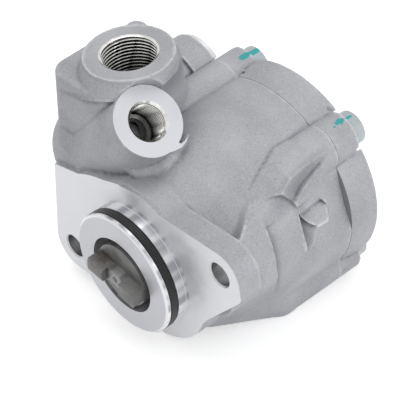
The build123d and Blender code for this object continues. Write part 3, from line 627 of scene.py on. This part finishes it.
def smoothShade(piece, angle=32):
    # smooth faces, with the edges sharper than the angle left crisp
    piece.data.polygons.foreach_set("use_smooth", np.ones(len(piece.data.polygons), bool))
    piece.data.set_sharp_from_angle(angle=math.radians(angle))


# Materials

def feed(tree, value, socket):
    # into a socket: a link from another node's output, or else a plain value or colour
    if isinstance(value, bpy.types.NodeSocket):
        tree.links.new(value, socket)
    else:
        socket.default_value = (*value, 1) if socket.type == "RGBA" else value


def node(tree, kind, **values):
    # a new shader node, with its settings and what goes into its sockets
    made = tree.nodes.new(kind)
    for key, value in values.items():
        if hasattr(made, key):
            setattr(made, key, value)
        else:
            feed(tree, value, made.inputs[key.replace("_", " ")])
    return made


def baseFinish(name, colour, metallic, roughness):
    # a plain material, with its nodes and its shader
    material = bpy.data.materials.new(name)
    material.use_nodes = True
    tree = material.node_tree
    shader = tree.nodes["Principled BSDF"]
    feed(tree, colour, shader.inputs["Base Color"])
    feed(tree, metallic, shader.inputs["Metallic"])
    feed(tree, roughness, shader.inputs["Roughness"])
    return material, tree, shader


def noiseOn(tree, scale, detail=3.0, roughness=0.55):
    # noise in the piece's own coordinates; scale counts features in a metre
    return node(tree, "ShaderNodeTexNoise", Scale=scale, Detail=detail, Roughness=roughness,
                Vector=node(tree, "ShaderNodeTexCoord").outputs["Object"]).outputs["Fac"]


def spread(tree, source, low, high, to=(0.0, 1.0)):
    # stretches the part of a value between low and high to a new range
    return node(tree, "ShaderNodeMapRange", Value=source, From_Min=low, From_Max=high,
                To_Min=to[0], To_Max=to[1]).outputs["Result"]


def mixColours(tree, factor, a, b):
    # from colour a to colour b by a factor
    made = node(tree, "ShaderNodeMix", data_type="RGBA")
    for socket, value in ((0, factor), (6, a), (7, b)):
        feed(tree, value, made.inputs[socket])
    return made.outputs[2]


def bumpFrom(tree, shader, heights):
    # stacks bumps (value, depth in millimetres) one after the other
    last = None
    for source, depth in heights:
        made = node(tree, "ShaderNodeBump", Strength=1.0, Distance=depth * mm, Height=source)
        if last is not None:
            tree.links.new(last, made.inputs["Normal"])
        last = made.outputs["Normal"]
    tree.links.new(last, shader.inputs["Normal"])


def ownPlace(tree, centre=(0, 0, 0), turn=(0, 0, 0), size=(1, 1, 1)):
    # the piece's own coordinates, measured from a centre (mm) in turned axes (degrees) and in sizes (mm)
    return node(tree, "ShaderNodeMapping", vector_type="TEXTURE", Location=[v * mm for v in centre],
                Rotation=[math.radians(v) for v in turn], Scale=[v * mm for v in size],
                Vector=node(tree, "ShaderNodeTexCoord").outputs["Object"]).outputs["Vector"]


def calculate(tree, operation, a, b):
    # arithmetic on two values
    made = node(tree, "ShaderNodeMath", operation=operation)
    feed(tree, a, made.inputs[0])
    feed(tree, b, made.inputs[1])
    return made.outputs[0]


def lengthOf(tree, vector):
    # a vector's length
    return node(tree, "ShaderNodeVectorMath", operation="LENGTH", Vector=vector).outputs["Value"]


def streaks(tree, turn, size, detail=2.0):
    # noise drawn out along turned axes, one feature for each size (mm)
    return node(tree, "ShaderNodeTexNoise", Scale=1.0, Detail=detail, Roughness=0.6,
                Vector=ownPlace(tree, turn=turn, size=size)).outputs["Fac"]


def wander(tree, scale, width):
    # noise about zero, for an edge that wanders
    return calculate(tree, "MULTIPLY", calculate(tree, "SUBTRACT", noiseOn(tree, scale, 3), 0.5), width)


def spot(tree, centre, half, turn=(0, 0, 0), ragged=0.6, scale=700, soft=0.1):
    # 1 inside an ellipsoid with a ragged edge, 0 outside
    away = lengthOf(tree, ownPlace(tree, centre, turn, half))
    return spread(tree, calculate(tree, "ADD", away, wander(tree, scale, ragged * 2)), 1 + soft, 1 - soft)


def lengthwise(tree, low, high, soft=0.15):
    # 1 between two places along the shaft (mm), 0 outside
    along = node(tree, "ShaderNodeSeparateXYZ", Vector=ownPlace(tree)).outputs["Y"]
    return calculate(tree, "MULTIPLY", spread(tree, along, low - soft, low + soft),
                     spread(tree, along, high + soft, high - soft))


def turnTo(axis):
    # the turn in degrees that lays a texture's own Z along an axis
    return [math.degrees(v) for v in Vector(axis).to_track_quat("Z", "Y").to_euler()]


def rings(tree, centre, axis, spacing):
    # fine rings about an axis, as a tool leaves them; spacing in millimetres
    return node(tree, "ShaderNodeTexWave", wave_type="RINGS", rings_direction="Z", Scale=0.314 / spacing,
                Distortion=0.5, Detail=2.0, Vector=ownPlace(tree, centre, turnTo(axis))).outputs["Fac"]


# Of these colours, the darkest serves the grain's dark specks and painted shade in creases and hollow places;
# the lightest serves the grain's light specks and the edges' wear and painted highlight
castFinish = dict(light=(0.415, 0.422, 0.445), dark=(0.345, 0.35, 0.37), wornAndHighlight=(0.62, 0.62, 0.625),
                  darkSpeckAndShade=(0.12, 0.124, 0.14), metallic=0.25, roughness=0.6)
paintColour = (0.035, 0.33, 0.33)


def castAluminium(name, paintMarks=(), paintedShadeSpots=()):
    # sandy cast aluminium: faint patches, fine grain, edges lighter from rubbing and painted highlight,
    # painted shade in creases and hollow places, dabs of paint
    c = castFinish
    material, tree, shader = baseFinish(name, c["light"], c["metallic"], c["roughness"])
    colour = mixColours(tree, spread(tree, noiseOn(tree, 45, 4), 0.35, 0.65), c["dark"], c["light"])
    grain = noiseOn(tree, 1300, 3, 0.75)
    colour = mixColours(tree, spread(tree, grain, 0.44, 0.30, (0, 0.5)), colour, c["darkSpeckAndShade"])
    colour = mixColours(tree, spread(tree, grain, 0.57, 0.72, (0, 0.6)), colour, c["wornAndHighlight"])
    bend = node(tree, "ShaderNodeNewGeometry").outputs["Pointiness"]
    # convex edges lighter by the mesh's pointiness: partly wear from rubbing, partly painted highlight
    rubbedAndLit = calculate(tree, "ADD", bend, wander(tree, 500, 0.05))
    colour = mixColours(tree, spread(tree, rubbedAndLit, 0.515, 0.56, (0, 0.7)), colour, c["wornAndHighlight"])
    # painted shade: concave creases darkened by the mesh's pointiness
    colour = mixColours(tree, spread(tree, bend, 0.492, 0.43, (0, 0.8)), colour, c["darkSpeckAndShade"])
    # painted shade: soft dark spots in the listed hollow places
    for place, half, turn in paintedShadeSpots:
        paintedShade = calculate(tree, "MULTIPLY", spot(tree, place, half, turn, 0.15, 300, 0.95), 0.6)
        colour = mixColours(tree, paintedShade, colour, c["darkSpeckAndShade"])
    for mark in paintMarks:
        colour = mixColours(tree, spot(tree, **mark), colour, paintColour)
    tree.links.new(colour, shader.inputs["Base Color"])
    bumpFrom(tree, shader, ((noiseOn(tree, 330, 3), 0.16), (grain, 0.09)))
    return material


def dimmed(colour, part):
    # a part of a colour's brightness
    return tuple(v * part for v in colour)


def machinedAluminium(name, centre=(0, 0, 0), axis=(0, 1, 0), colour=(0.80, 0.81, 0.82), roughness=0.3,
                      spacing=0.35, milled=None, stainsAndPaintedReflection=(), metallic=0.85, paintedSheen=None, highlightBands=()):
    # turned rings about the tool's axis, or milled lines; soft clouds, and darker soft patches (on the flange
    # face, painted dark reflection).
    #     # A given sheen paints reflection: streaks of light and dark along the shaft. A band is (from, to,
    #     colour) along the shaft: a painted highlight.
    material, tree, shader = baseFinish(name, colour, metallic, roughness)
    if milled is None:
        marks = rings(tree, centre, axis, spacing)
    else:
        marks = streaks(tree, milled, (14, 0.5, 0.4))
    cloud = noiseOn(tree, 60, 3)
    tone = mixColours(tree, spread(tree, cloud, 0.3, 0.7), dimmed(colour, 0.94), colour)
    tone = mixColours(tree, spread(tree, marks, 0.35, 0.75, (0, 0.28)), tone, dimmed(colour, 0.86))
    # painted reflection on the turned side: dark and bright streaks along the shaft
    if paintedSheen is not None:
        band = streaks(tree, (0, 0, 0), paintedSheen, 1.0)
        side = lengthwise(tree, -12.85, 5, 0.08)
        paintedDarkStreak = spread(tree, band, 0.5, 0.36, (0, 0.75))
        clear = spread(tree, band, 0.47, 0.6, (0, 0.85))
        tone = mixColours(tree, calculate(tree, "MULTIPLY", paintedDarkStreak, side), tone, dimmed(colour, 0.62))
        tone = mixColours(tree, calculate(tree, "MULTIPLY", clear, side), tone, (0.9, 0.9, 0.91))
    # darker soft patches; on the flange face they are painted dark reflection
    for darkPatch in stainsAndPaintedReflection:
        tone = mixColours(tree, spot(tree, **darkPatch), tone, dimmed(colour, 0.66))
    # painted highlight: a lighter colour on each chamfer
    for low, high, shade in highlightBands:
        tone = mixColours(tree, lengthwise(tree, low, high, 0.06), tone, shade)
    tree.links.new(tone, shader.inputs["Base Color"])
    rough = spread(tree, cloud, 0.3, 0.7, (roughness - 0.04, roughness + 0.06))
    tree.links.new(rough, shader.inputs["Roughness"])
    bumpFrom(tree, shader, ((marks, 0.004),))
    return material


def threadedWall(name, centre, axis, crest, deep):
    # a cut thread: bright crests, painted shade in the grooves, and painted shade deepening towards the
    # bottom
    material, tree, shader = baseFinish(name, (0.7, 0.7, 0.68), 1.0, 0.2)
    parts = node(tree, "ShaderNodeSeparateXYZ", Vector=ownPlace(tree, centre, turnTo(axis))).outputs
    across = node(tree, "ShaderNodeCombineXYZ", X=parts["X"], Y=parts["Y"]).outputs[0]
    # painted shade: the thread's grooves darkened
    groove = calculate(tree, "MULTIPLY", spread(tree, lengthOf(tree, across), crest + 0.12, crest + 0.5),
                       spread(tree, parts["Z"], -1.2, -1.7))
    cloud = spread(tree, noiseOn(tree, 230, 4, 0.7), 0.35, 0.62)
    colour = mixColours(tree, cloud, (0.62, 0.61, 0.58), (0.85, 0.85, 0.83))
    colour = mixColours(tree, groove, colour, (0.03, 0.03, 0.03))
    # painted shade: darker towards the bottom of the hole
    low = spread(tree, parts["Z"], -0.2 * deep, -0.75 * deep, (0, 0.95))
    colour = mixColours(tree, low, colour, (0.045, 0.045, 0.044))
    tree.links.new(colour, shader.inputs["Base Color"])
    tree.links.new(spread(tree, cloud, 0, 1, (0.12, 0.3)), shader.inputs["Roughness"])
    return material


def metal(name, colour, roughness, metallic=0.9, mottle=0.12, scale=160, stainsAndPaintedReflection=(),
          stainColour=(0.08, 0.055, 0.04), bump=0.01, side=None):
    # steel, bronze, plate or rubber: mottled, with a fine tooth, and stained where it was handled. With side
    # given, it is darker beyond that radius (mm) from the shaft's axis
    material, tree, shader = baseFinish(name, colour, metallic, roughness)
    cloud = spread(tree, noiseOn(tree, scale, 4), 0.3, 0.7)
    lighter = tuple(min(1, v * (1 + mottle)) for v in colour)
    tone = mixColours(tree, cloud, dimmed(colour, 1 - mottle), lighter)
    for darkPatch in stainsAndPaintedReflection:
        tone = mixColours(tree, spot(tree, **darkPatch), tone, stainColour)
    if side is not None:
        away = lengthOf(tree, ownPlace(tree, size=(1, 1e6, 1)))
        outer = spread(tree, away, side - 0.25, side)
        tone = mixColours(tree, outer, tone, (0.15, 0.145, 0.14))
    tree.links.new(tone, shader.inputs["Base Color"])
    rough = spread(tree, cloud, 0.0, 1.0, (roughness - 0.05, roughness + 0.08))
    tree.links.new(rough, shader.inputs["Roughness"])
    bumpFrom(tree, shader, ((noiseOn(tree, 1400, 2), bump),))
    return material


print("materials")
# painted shade spots on the housing: the side pocket, the step on the thick wall, the hollow under the right
# ridge, the fold under the suction neck's flare, and a band round the suction neck
cast = castAluminium("castAluminium", paintedShadeSpots=(
    ((43.3, 54.6, 7.8), (4, 2.6, 9.5), (0, 0, 0)),
    ((46.4, 36.4, 5.5), (3, 1.3, 15), (0, 0, 0)),
    ((42.9, 58, 32.5), (2.2, 14, 4.5), (28, 0, 0)),
    ((-38, 8.2, 66), (10, 1.8, 1.3), (0, -11.5, 0)),
    ((-30, 44, 66), (26, 16, 5), (0, 0, 0))))
coverCast = castAluminium("coverAluminium", paintMarks=(
    dict(centre=(-24.7, 89.6, 48.7), half=(1.5, 3.4, 3), ragged=0.35),
    dict(centre=(36.3, 89.3, 42.5), half=(1.4, 2.5, 3), ragged=0.7, scale=900),
    dict(centre=(37.2, 85.4, 42.1), half=(0.35, 1.0, 2), ragged=0.5)))
# the flange face's two darker soft patches, right of the pilot and above it, are painted dark reflection
flangeFace = machinedAluminium("flangeFace", colour=(0.78, 0.785, 0.81), roughness=0.45, metallic=0.4,
                               milled=(0, 15, 0), stainsAndPaintedReflection=(
    dict(centre=(31, 0, 13), half=(7, 8, 10), ragged=0.7, scale=160, soft=0.9),
    dict(centre=(-1, 0, 36), half=(5, 8, 5), ragged=0.6, scale=200, soft=0.8)))
# the pilot: painted reflection streaks along its side and painted highlight on its two chamfers
turned = machinedAluminium("turnedPilot", colour=(0.53, 0.535, 0.565), roughness=0.32, metallic=0.6,
                           paintedSheen=(7, 400, 7), highlightBands=((-2.15, -1.7, (0.94, 0.94, 0.95)),
                                                     (-12.85, -12.1, (0.74, 0.745, 0.77))))
plainTurned = machinedAluminium("turnedCollar", colour=(0.70, 0.705, 0.72), roughness=0.4, metallic=0.5)
suctionFace = machinedAluminium("suctionFace", suctionPlace, (0, 0, 1), (0.72, 0.72, 0.745), 0.5, 0.5,
                                metallic=0.45)
pressureFace = machinedAluminium("pressureFace", portPlace, portOut, (0.60, 0.61, 0.64), 0.45, 0.5,
                                 metallic=0.5)
suctionWall = threadedWall("suctionThread", suctionPlace, (0, 0, 1), 12.5, 26.0)
pressureWall = threadedWall("pressureThread", portPlace, portOut, 8.25, 20.0)
# the cover's joint face shows only in the shadowed gap beside the planed side; its dark colour is painted
# shade
paintedShadeJointFace = machinedAluminium("paintedShadeJointFace", colour=(0.30, 0.30, 0.31), roughness=0.5, metallic=0.4)
drilled = machinedAluminium("drilledWall", colour=(0.50, 0.50, 0.51), roughness=0.3, metallic=1.0)
zinc = metal("zincPlate", (0.40, 0.44, 0.465), 0.34, 0.4, 0.06, stainColour=paintColour, stainsAndPaintedReflection=(
    dict(centre=(-26.5, 96.6, 46.1), half=(1.5, 4.2, 2.5), ragged=0.25),
    dict(centre=(34.8, 95.6, 39.8), half=(0.8, 2.4, 2.5), ragged=0.6, scale=900)))
phosphate = metal("phosphatedSteel", (0.155, 0.153, 0.15), 0.42, 0.3, 0.2, 220, stainsAndPaintedReflection=(
    dict(centre=(-10.5, -15, 4), half=(5.5, 5, 3.5), ragged=0.9, scale=500, soft=0.4),),
    stainColour=(0.07, 0.058, 0.05))
groundSteel = metal("groundSteel", (0.50, 0.50, 0.50), 0.3)
shaftSteel = metal("shaftSteel", (0.24, 0.24, 0.24), 0.35, 0.4, side=4.6)
darkSteel = metal("darkSteel", (0.10, 0.10, 0.105), 0.45, 0.8)
sintered = metal("sinteredSteel", (0.38, 0.38, 0.385), 0.4, 0.9, 0.1, 300, bump=0.02)
bronze = metal("plainBronze", (0.60, 0.42, 0.20), 0.35)
rubber = metal("nitrileRubber", (0.009, 0.009, 0.010), 0.38, 0.0, 0.2, 300, bump=0.006)
finishes = dict(cast_aluminium=cast, zinc_steel=zinc, dark_steel=darkSteel, phosphated_steel=phosphate,
                ground_steel=groundSteel, sintered_steel=sintered, bronze=bronze, black_rubber=rubber)
slotOf = {row["node"]: row["material_slot"] for row in record["subparts"]}
for name, carried in nodes.items():
    carried.data.materials.clear()
    carried.data.materials.append(finishes[slotOf[name]])


# Housing

def slab(name, low, high, material):
    # a plain block, only used to cut with
    a, b = np.array(low, float), np.array(high, float)
    corners = np.array([[x, y, z] for x in (a[0], b[0]) for y in (a[1], b[1]) for z in (a[2], b[2])])
    faces = [(0, 1, 3, 2), (4, 6, 7, 5), (0, 4, 5, 1), (2, 3, 7, 6), (0, 2, 6, 4), (1, 5, 7, 3)]
    return writeMesh(name, corners, faces, [material])


def alongShaft(x, z):
    # where a turned body stands on a line parallel to the shaft
    return dict(origin=(x, 0, z), axis=(0, 1, 0), sideways=(1, 0, 0))


def rodTool(name, radius, start, end, material, segments=96, **line):
    # a plain round bar, only used to cut with
    return turnedMesh(name, [(0, start), (radius, start), (radius, end), (0, end)], **line,
                      segments=segments, materials=[material])


fin = dict(outline=[(0.5, -13), (0.7, -16.4), (3.4, -16.9), (6.8, -17.2), (10.3, -16.1), (13.6, -13.9),
                    (12.0, -14.7), (9.5, -15.6), (7.4, -15.7), (6, -13)], deep=6.0, shrink=0.86)


def portFin():
    # the thin fin beside the pressure port: its outline in the port's face, carried down while it shrinks
    points = []
    for depth, size in ((0.0, 1.0), (fin["deep"], fin["shrink"])):
        for across, up in fin["outline"]:
            sideways = np.array([0, across * size, 0])
            points.append(tuple((portPlace - portOut * depth + portUp * up * size + sideways) * mm))
    n = len(fin["outline"])
    faces = [list(range(n)), list(range(2 * n - 1, n - 1, -1))]
    faces += [[i, i + n, (i + 1) % n + n, (i + 1) % n] for i in range(n)]
    mesh = bpy.data.meshes.new("portFin")
    mesh.from_pydata(points, [], faces)
    for material in (cast, pressureFace):
        mesh.materials.append(material)
    mesh.polygons[0].material_index = 1
    return mended(placed("portFin", mesh))


# What the machines add and cut, each profile as (radius, distance along its axis)
pilot = dict(profile=[(0, 2), (29.5, 2), (29.5, -1.6), (30, -1.9), (30, -6.2), (27.4, -6.2), (27.4, -10.8),
                      (30, -10.8), (30, -11.9), (28.7, -13), (0, -13)], segments=256)
bore = dict(profile=[(0, -14), (19.9, -14), (18.9, -13), (18.9, 2), (17.5, 2), (17.5, 2.6), (18.5, 2.6),
                     (18.5, 4), (17.5, 4), (17.5, 14), (14.5, 14), (14.5, 21), (12, 21), (12, 24), (10, 24),
                     (10, 32), (37, 32), (37, 81), (0, 81)], segments=160)
collarForm = dict(profile=[(0, 78), (16.4, 78), (16.4, 82.4), (15.9, 82.9), (0, 82.9)],
                  room=(80, 90), coverRoom=51.1, lobeRoom=11.6)
joint = dict(housing=79.95, cover=80.05)
suctionPort = dict(face=(34, 0, 12), mouth=[(13.9, -0.5), (13.5, 0.1)],
                   thread=dict(radius=12.5, depth=1.0, pitch=1.75, start=0.6, end=24.2, segments=144),
                   below=[(12.5, 24.6), (11, 25.2), (11, 56)])
pressurePort = dict(face=(16.35, 0, 24), mouth=[(9.7, -0.3), (8.4, 1.0)],
                    thread=dict(radius=8.25, depth=0.8, pitch=1.5, start=1.2, end=17.0, segments=120),
                    below=[(8.25, 17.2), (6.5, 17.6), (6.5, 26), (7.5, 26.2), (7.5, 58)])
shaftLine = alongShaft(0, 0)
suctionLine = dict(origin=suctionPlace, axis=(0, 0, 1), sideways=(1, 0, 0))
pressureLine = dict(origin=portPlace, axis=portOut, sideways=(0, 1, 0))

print("casting the housing")
points, faces = shellFrom(housingDistance, *casting["room"], casting["step"])
housing = writeMesh("housingCasting", points, faces, [cast])
print("   ", len(faces), "faces")
machine(housing, [slab("frontCut", (-90, -30, -70), (90, 0, 100), flangeFace),
                  slab("rearCut", (-90, joint["housing"], -70), (90, 100, 100), turned)])
collar = turnedMesh("collarTurned", collarForm["profile"], segments=128, materials=[plainTurned],
                    **alongShaft(casting["rearBoss"]["x"], casting["rearBoss"]["z"]))
room = collarForm["room"]
machine(collar, [rodTool("coverRoom", collarForm["coverRoom"], *room, plainTurned, 160, **shaftLine),
                 rodTool("lobeRoom", collarForm["lobeRoom"], *room, plainTurned,
                         **alongShaft(*polar(*screwPlaces[0])))])
turnedPilot = turnedMesh("pilotTurned", **pilot, **shaftLine, materials=[turned])
machine(housing, [turnedPilot, collar], "UNION")
machine(housing, [portFin()], "UNION")
tools = [turnedMesh("shaftBore", **bore, **shaftLine, materials=[turned]),
         rodTool("suctionTop", *suctionPort["face"], suctionFace, 160, **suctionLine),
         rodTool("pressureTop", *pressurePort["face"], pressureFace, 160, **pressureLine)]
for side in (1, -1):
    line = alongShaft(*(side * polar(*mountHole["place"])))
    tools.append(turnedMesh("mountHole", mountHole["profile"], **line, segments=72, materials=[drilled]))
tools.append(threadCutter("suctionThread", suctionPlace, (0, 0, -1), (1, 0, 0), suctionPort["mouth"],
                          suctionPort["thread"], suctionPort["below"], suctionWall))
tools.append(threadCutter("pressureThread", portPlace, -portOut, (0, 1, 0), pressurePort["mouth"],
                          pressurePort["thread"], pressurePort["below"], pressureWall))
machine(housing, tools)
smoothShade(housing)
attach(housing, "pump_body")
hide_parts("housing")

print("casting the cover")
points, faces = shellFrom(coverDistance, *coverForm["room"], casting["step"])
cover = writeMesh("coverCasting", points, faces, [coverCast])
coverTools = [slab("coverJoint", (-90, 60, -70), (90, joint["cover"], 100), paintedShadeJointFace)]
for place in screwPlaces:
    coverTools.append(rodTool("spotFace", coverForm["spotFace"]["radius"], coverForm["spotFace"]["y"], 99,
                              turned, **alongShaft(*polar(*place))))
machine(cover, coverTools)
smoothShade(cover)
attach(cover, "pump_body")
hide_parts("rear_cover")

# Seals, coupling, shaft, screws and washers

def bevelledCopy(name, nodeName, width):
    # a carried-over solid whose edges are broken, as a file or tumbling leaves them
    source = nodes[nodeName]
    piece = mended(placed(name, source.data.copy()), joinWithin=2e-6, flatWithin=0.6)
    bevel = piece.modifiers.new("brokenEdges", "BEVEL")
    bevel.width = width * mm
    bevel.segments = 2
    bevel.limit_method = "ANGLE"
    bevel.angle_limit = math.radians(38)
    result = bpy.data.meshes.new_from_object(piece.evaluated_get(bpy.context.evaluated_depsgraph_get()))
    piece.modifiers.clear()
    piece.data = result
    smoothShade(piece)
    standFor(piece, nodeName)
    return piece


def standFor(piece, nodeName):
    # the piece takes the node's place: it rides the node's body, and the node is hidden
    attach(piece, nodes[nodeName]["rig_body"])
    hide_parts(nodeName)


def copiesAt(name, source, places):
    # one mesh that holds a copy of the source at each place
    work = bmesh.new()
    for x, z in places:
        before = len(work.verts)
        work.from_mesh(source.data)
        work.verts.ensure_lookup_table()
        bmesh.ops.translate(work, verts=work.verts[before:], vec=Vector((x, 0, z)) * mm)
    mesh = bpy.data.meshes.new(name)
    work.to_mesh(mesh)
    work.free()
    for material in source.data.materials:
        mesh.materials.append(material)
    bpy.data.objects.remove(source)
    return placed(name, mesh)


print("seals and coupling")
ring = dict(outer=30.15, inner=27.45, front=-10.5, rear=-6.5, ribs=4, ribDepth=0.28, round=0.5, chamfer=0.3)
steps = np.linspace(0, 1, 49)
shoulder = np.clip(np.minimum(steps, 1 - steps) / 0.08, 0, 1)
rounding = ring["round"] * (1 - np.sqrt(1 - (1 - shoulder) ** 2))
groove = ring["ribDepth"] * (0.5 - 0.5 * np.cos(2 * math.pi * ring["ribs"] * steps)) ** 4
outerWall = ring["outer"] - rounding - groove
profile = [(r, ring["front"] + t * (ring["rear"] - ring["front"])) for r, t in zip(outerWall, steps)]
profile += [(ring["inner"], ring["rear"] - ring["chamfer"]),
            (ring["inner"], ring["front"] + ring["chamfer"])]
oRing = turnedMesh("pilotSeal", profile, **shaftLine, segments=200, materials=[rubber])
smoothShade(oRing, 40)
standFor(oRing, "pilot_o_ring")
bevelledCopy("driveCoupling", "drive_coupling", 0.3)
shaft = bevelledCopy("driveShaft", "drive_shaft", 0.15)
shaft.data.materials[0] = shaftSteel
bevelledCopy("valvePlug", "valve_plug", 0.25)

print("screws and washers")
screw = dict(shank=4.9, start=60.0, seat=93.5, head=8.0, top=100.0, edge=0.9, lead=0.8, foot=0.3, socket=4.0,
             depth=4.0)
corner = arcPoints((screw["head"] - screw["edge"], screw["top"] - screw["edge"]), screw["edge"], 0, 90, 6)
profile = [(0, screw["start"]), (screw["shank"] - screw["lead"], screw["start"]),
           (screw["shank"], screw["start"] + screw["lead"]), (screw["shank"], screw["seat"]),
           (screw["head"] - screw["foot"], screw["seat"]), (screw["head"], screw["seat"] + screw["foot"])]
profile += corner + [(0, screw["top"])]
oneScrew = turnedMesh("oneScrew", profile, **shaftLine, segments=72, materials=[zinc])
machine(oneScrew, [rodTool("socket", screw["socket"], screw["top"] - screw["depth"], screw["top"] + 1,
                           darkSteel, 6, **shaftLine)])
screws = copiesAt("coverScrews", oneScrew, [polar(*place) for place in screwPlaces])
smoothShade(screws)
standFor(screws, "cover_screws")

washer = dict(radii=[5.3, 6.4, 7.2, 8.2, 9.0], front=92.0, rear=93.5, ribs=36, ribDepth=0.28, ribStart=7.0,
              ribRun=0.8)
turns = np.linspace(0, 2 * math.pi, washer["ribs"] * 6, endpoint=False)
radii = np.array(washer["radii"])
rise = washer["ribDepth"] * (0.5 - 0.5 * np.cos(turns * washer["ribs"]))
upper = washer["rear"] - np.clip((radii - washer["ribStart"]) / washer["ribRun"], 0, 1)[:, None] * rise[None]
lower = np.full_like(upper, washer["front"])
rows = np.concatenate([radii, radii[::-1]])
heights = np.vstack([upper, lower])
points = np.stack([rows[:, None] * np.cos(turns), heights, rows[:, None] * np.sin(turns)], -1)
washerFaces = gridFaces(len(rows), len(turns), True, True)
# the washers are dark steel, and their black also stands for the shade under the screw heads: partly painted
# shadow
oneWasher = mended(writeMesh("oneWasher", points.reshape(-1, 3), washerFaces, [darkSteel]))
washers = copiesAt("darkLockWashersAndShadow", oneWasher, [polar(*place) for place in screwPlaces])
smoothShade(washers, 30)
standFor(washers, "lock_washers")

# Stage, light and camera, in metres

def directly(tree):
    # 1 for what the camera sees, straight, mirrored or through something, and 0 for rays that only light
    path = node(tree, "ShaderNodeLightPath")
    seen = calculate(tree, "MAXIMUM", path.outputs["Is Camera Ray"], path.outputs["Is Glossy Ray"])
    return calculate(tree, "MAXIMUM", seen, path.outputs["Is Transmission Ray"])


print("stage, light and camera")
stage = dict(normal=(0, 10.5, 96), height=-0.0402, half=3, white=0.85, glow=0.45, domeLow=0.4, domeHigh=0.84)
# the part lies on the flange's disc and the cover's rim, which is lower, so the floor falls to the rear
lean = Vector(stage["normal"]).normalized().to_track_quat("Z", "Y").to_matrix().to_4x4()
floorMesh = bpy.data.meshes.new("floor")
corners = [(x * stage["half"], y * stage["half"], 0) for x, y in ((-1, -1), (1, -1), (1, 1), (-1, 1))]
floorMesh.from_pydata(corners, [], [(0, 1, 2, 3)])
floor = placed("floor", floorMesh)
floor.matrix_world = Matrix.Translation(Vector((0, 0, stage["height"]))) @ lean
paper = bpy.data.materials.new("paper")
paper.use_nodes = True
tree = paper.node_tree
tree.nodes.clear()
output = node(tree, "ShaderNodeOutputMaterial")
diffuse = node(tree, "ShaderNodeBsdfDiffuse", Color=(stage["white"],) * 3)
glow = node(tree, "ShaderNodeEmission", Color=(1, 1, 1),
            Strength=calculate(tree, "MULTIPLY", directly(tree), stage["glow"]))
both = node(tree, "ShaderNodeAddShader")
tree.links.new(diffuse.outputs[0], both.inputs[0])
tree.links.new(glow.outputs[0], both.inputs[1])
tree.links.new(both.outputs[0], output.inputs["Surface"])
floorMesh.materials.append(paper)

world = bpy.data.worlds.new("studio")
bpy.context.scene.world = world
world.use_nodes = True
tree = world.node_tree
background = tree.nodes["Background"]
background.inputs["Color"].default_value = (1, 1, 1, 1)
sky = node(tree, "ShaderNodeTexCoord").outputs["Generated"]
height = node(tree, "ShaderNodeSeparateXYZ", Vector=sky).outputs["Z"]
dome = spread(tree, height, -0.6, 1.0, (stage["domeLow"], stage["domeHigh"]))
light = node(tree, "ShaderNodeMix", data_type="FLOAT")
tree.links.new(directly(tree), light.inputs[0])
tree.links.new(dome, light.inputs[2])
light.inputs[3].default_value = 1.0
tree.links.new(light.outputs[0], background.inputs["Strength"])


def softBox(name, place, target, width, height, power):
    # a rectangular lamp that faces its target
    lamp = bpy.data.lights.new(name, "AREA")
    lamp.shape = "RECTANGLE"
    lamp.size, lamp.size_y, lamp.energy = width, height, power
    away = (Vector(place) - Vector(target)).to_track_quat("Z", "Y").to_matrix().to_4x4()
    placed(name, lamp).matrix_world = Matrix.Translation(Vector(place)) @ away


softBox("overhead", (-0.15, 0.15, 0.75), (0, 0.03, 0.02), 0.7, 0.5, 1.4)
softBox("right", (0.8, 0.2, 0.3), (0, 0.03, 0), 0.5, 0.5, 2.2)

# the camera's place and its three directions, as fitted to the round edges in the photo
shot = dict(lens=216, sensor=36, place=(0.6611, -0.4532, 0.6904), right=(0.6615, 0.7417, -0.1109),
            down=(0.4213, -0.4898, -0.7633), forward=(-0.6204, 0.4582, -0.6365))
camera = bpy.data.cameras.new("camera")
camera.lens = shot["lens"]
camera.sensor_width = shot["sensor"]
camera.clip_start, camera.clip_end = 0.05, 20
eye = placed("camera", camera)
right, down, forward = (Vector(shot[way]) for way in ("right", "down", "forward"))
turn = Matrix((right, -down, -forward)).transposed().to_quaternion().to_matrix()
eye.matrix_world = Matrix.Translation(Vector(shot["place"])) @ turn.to_4x4()
bpy.context.scene.camera = eye
bpy.context.scene.view_settings.view_transform = "Standard"
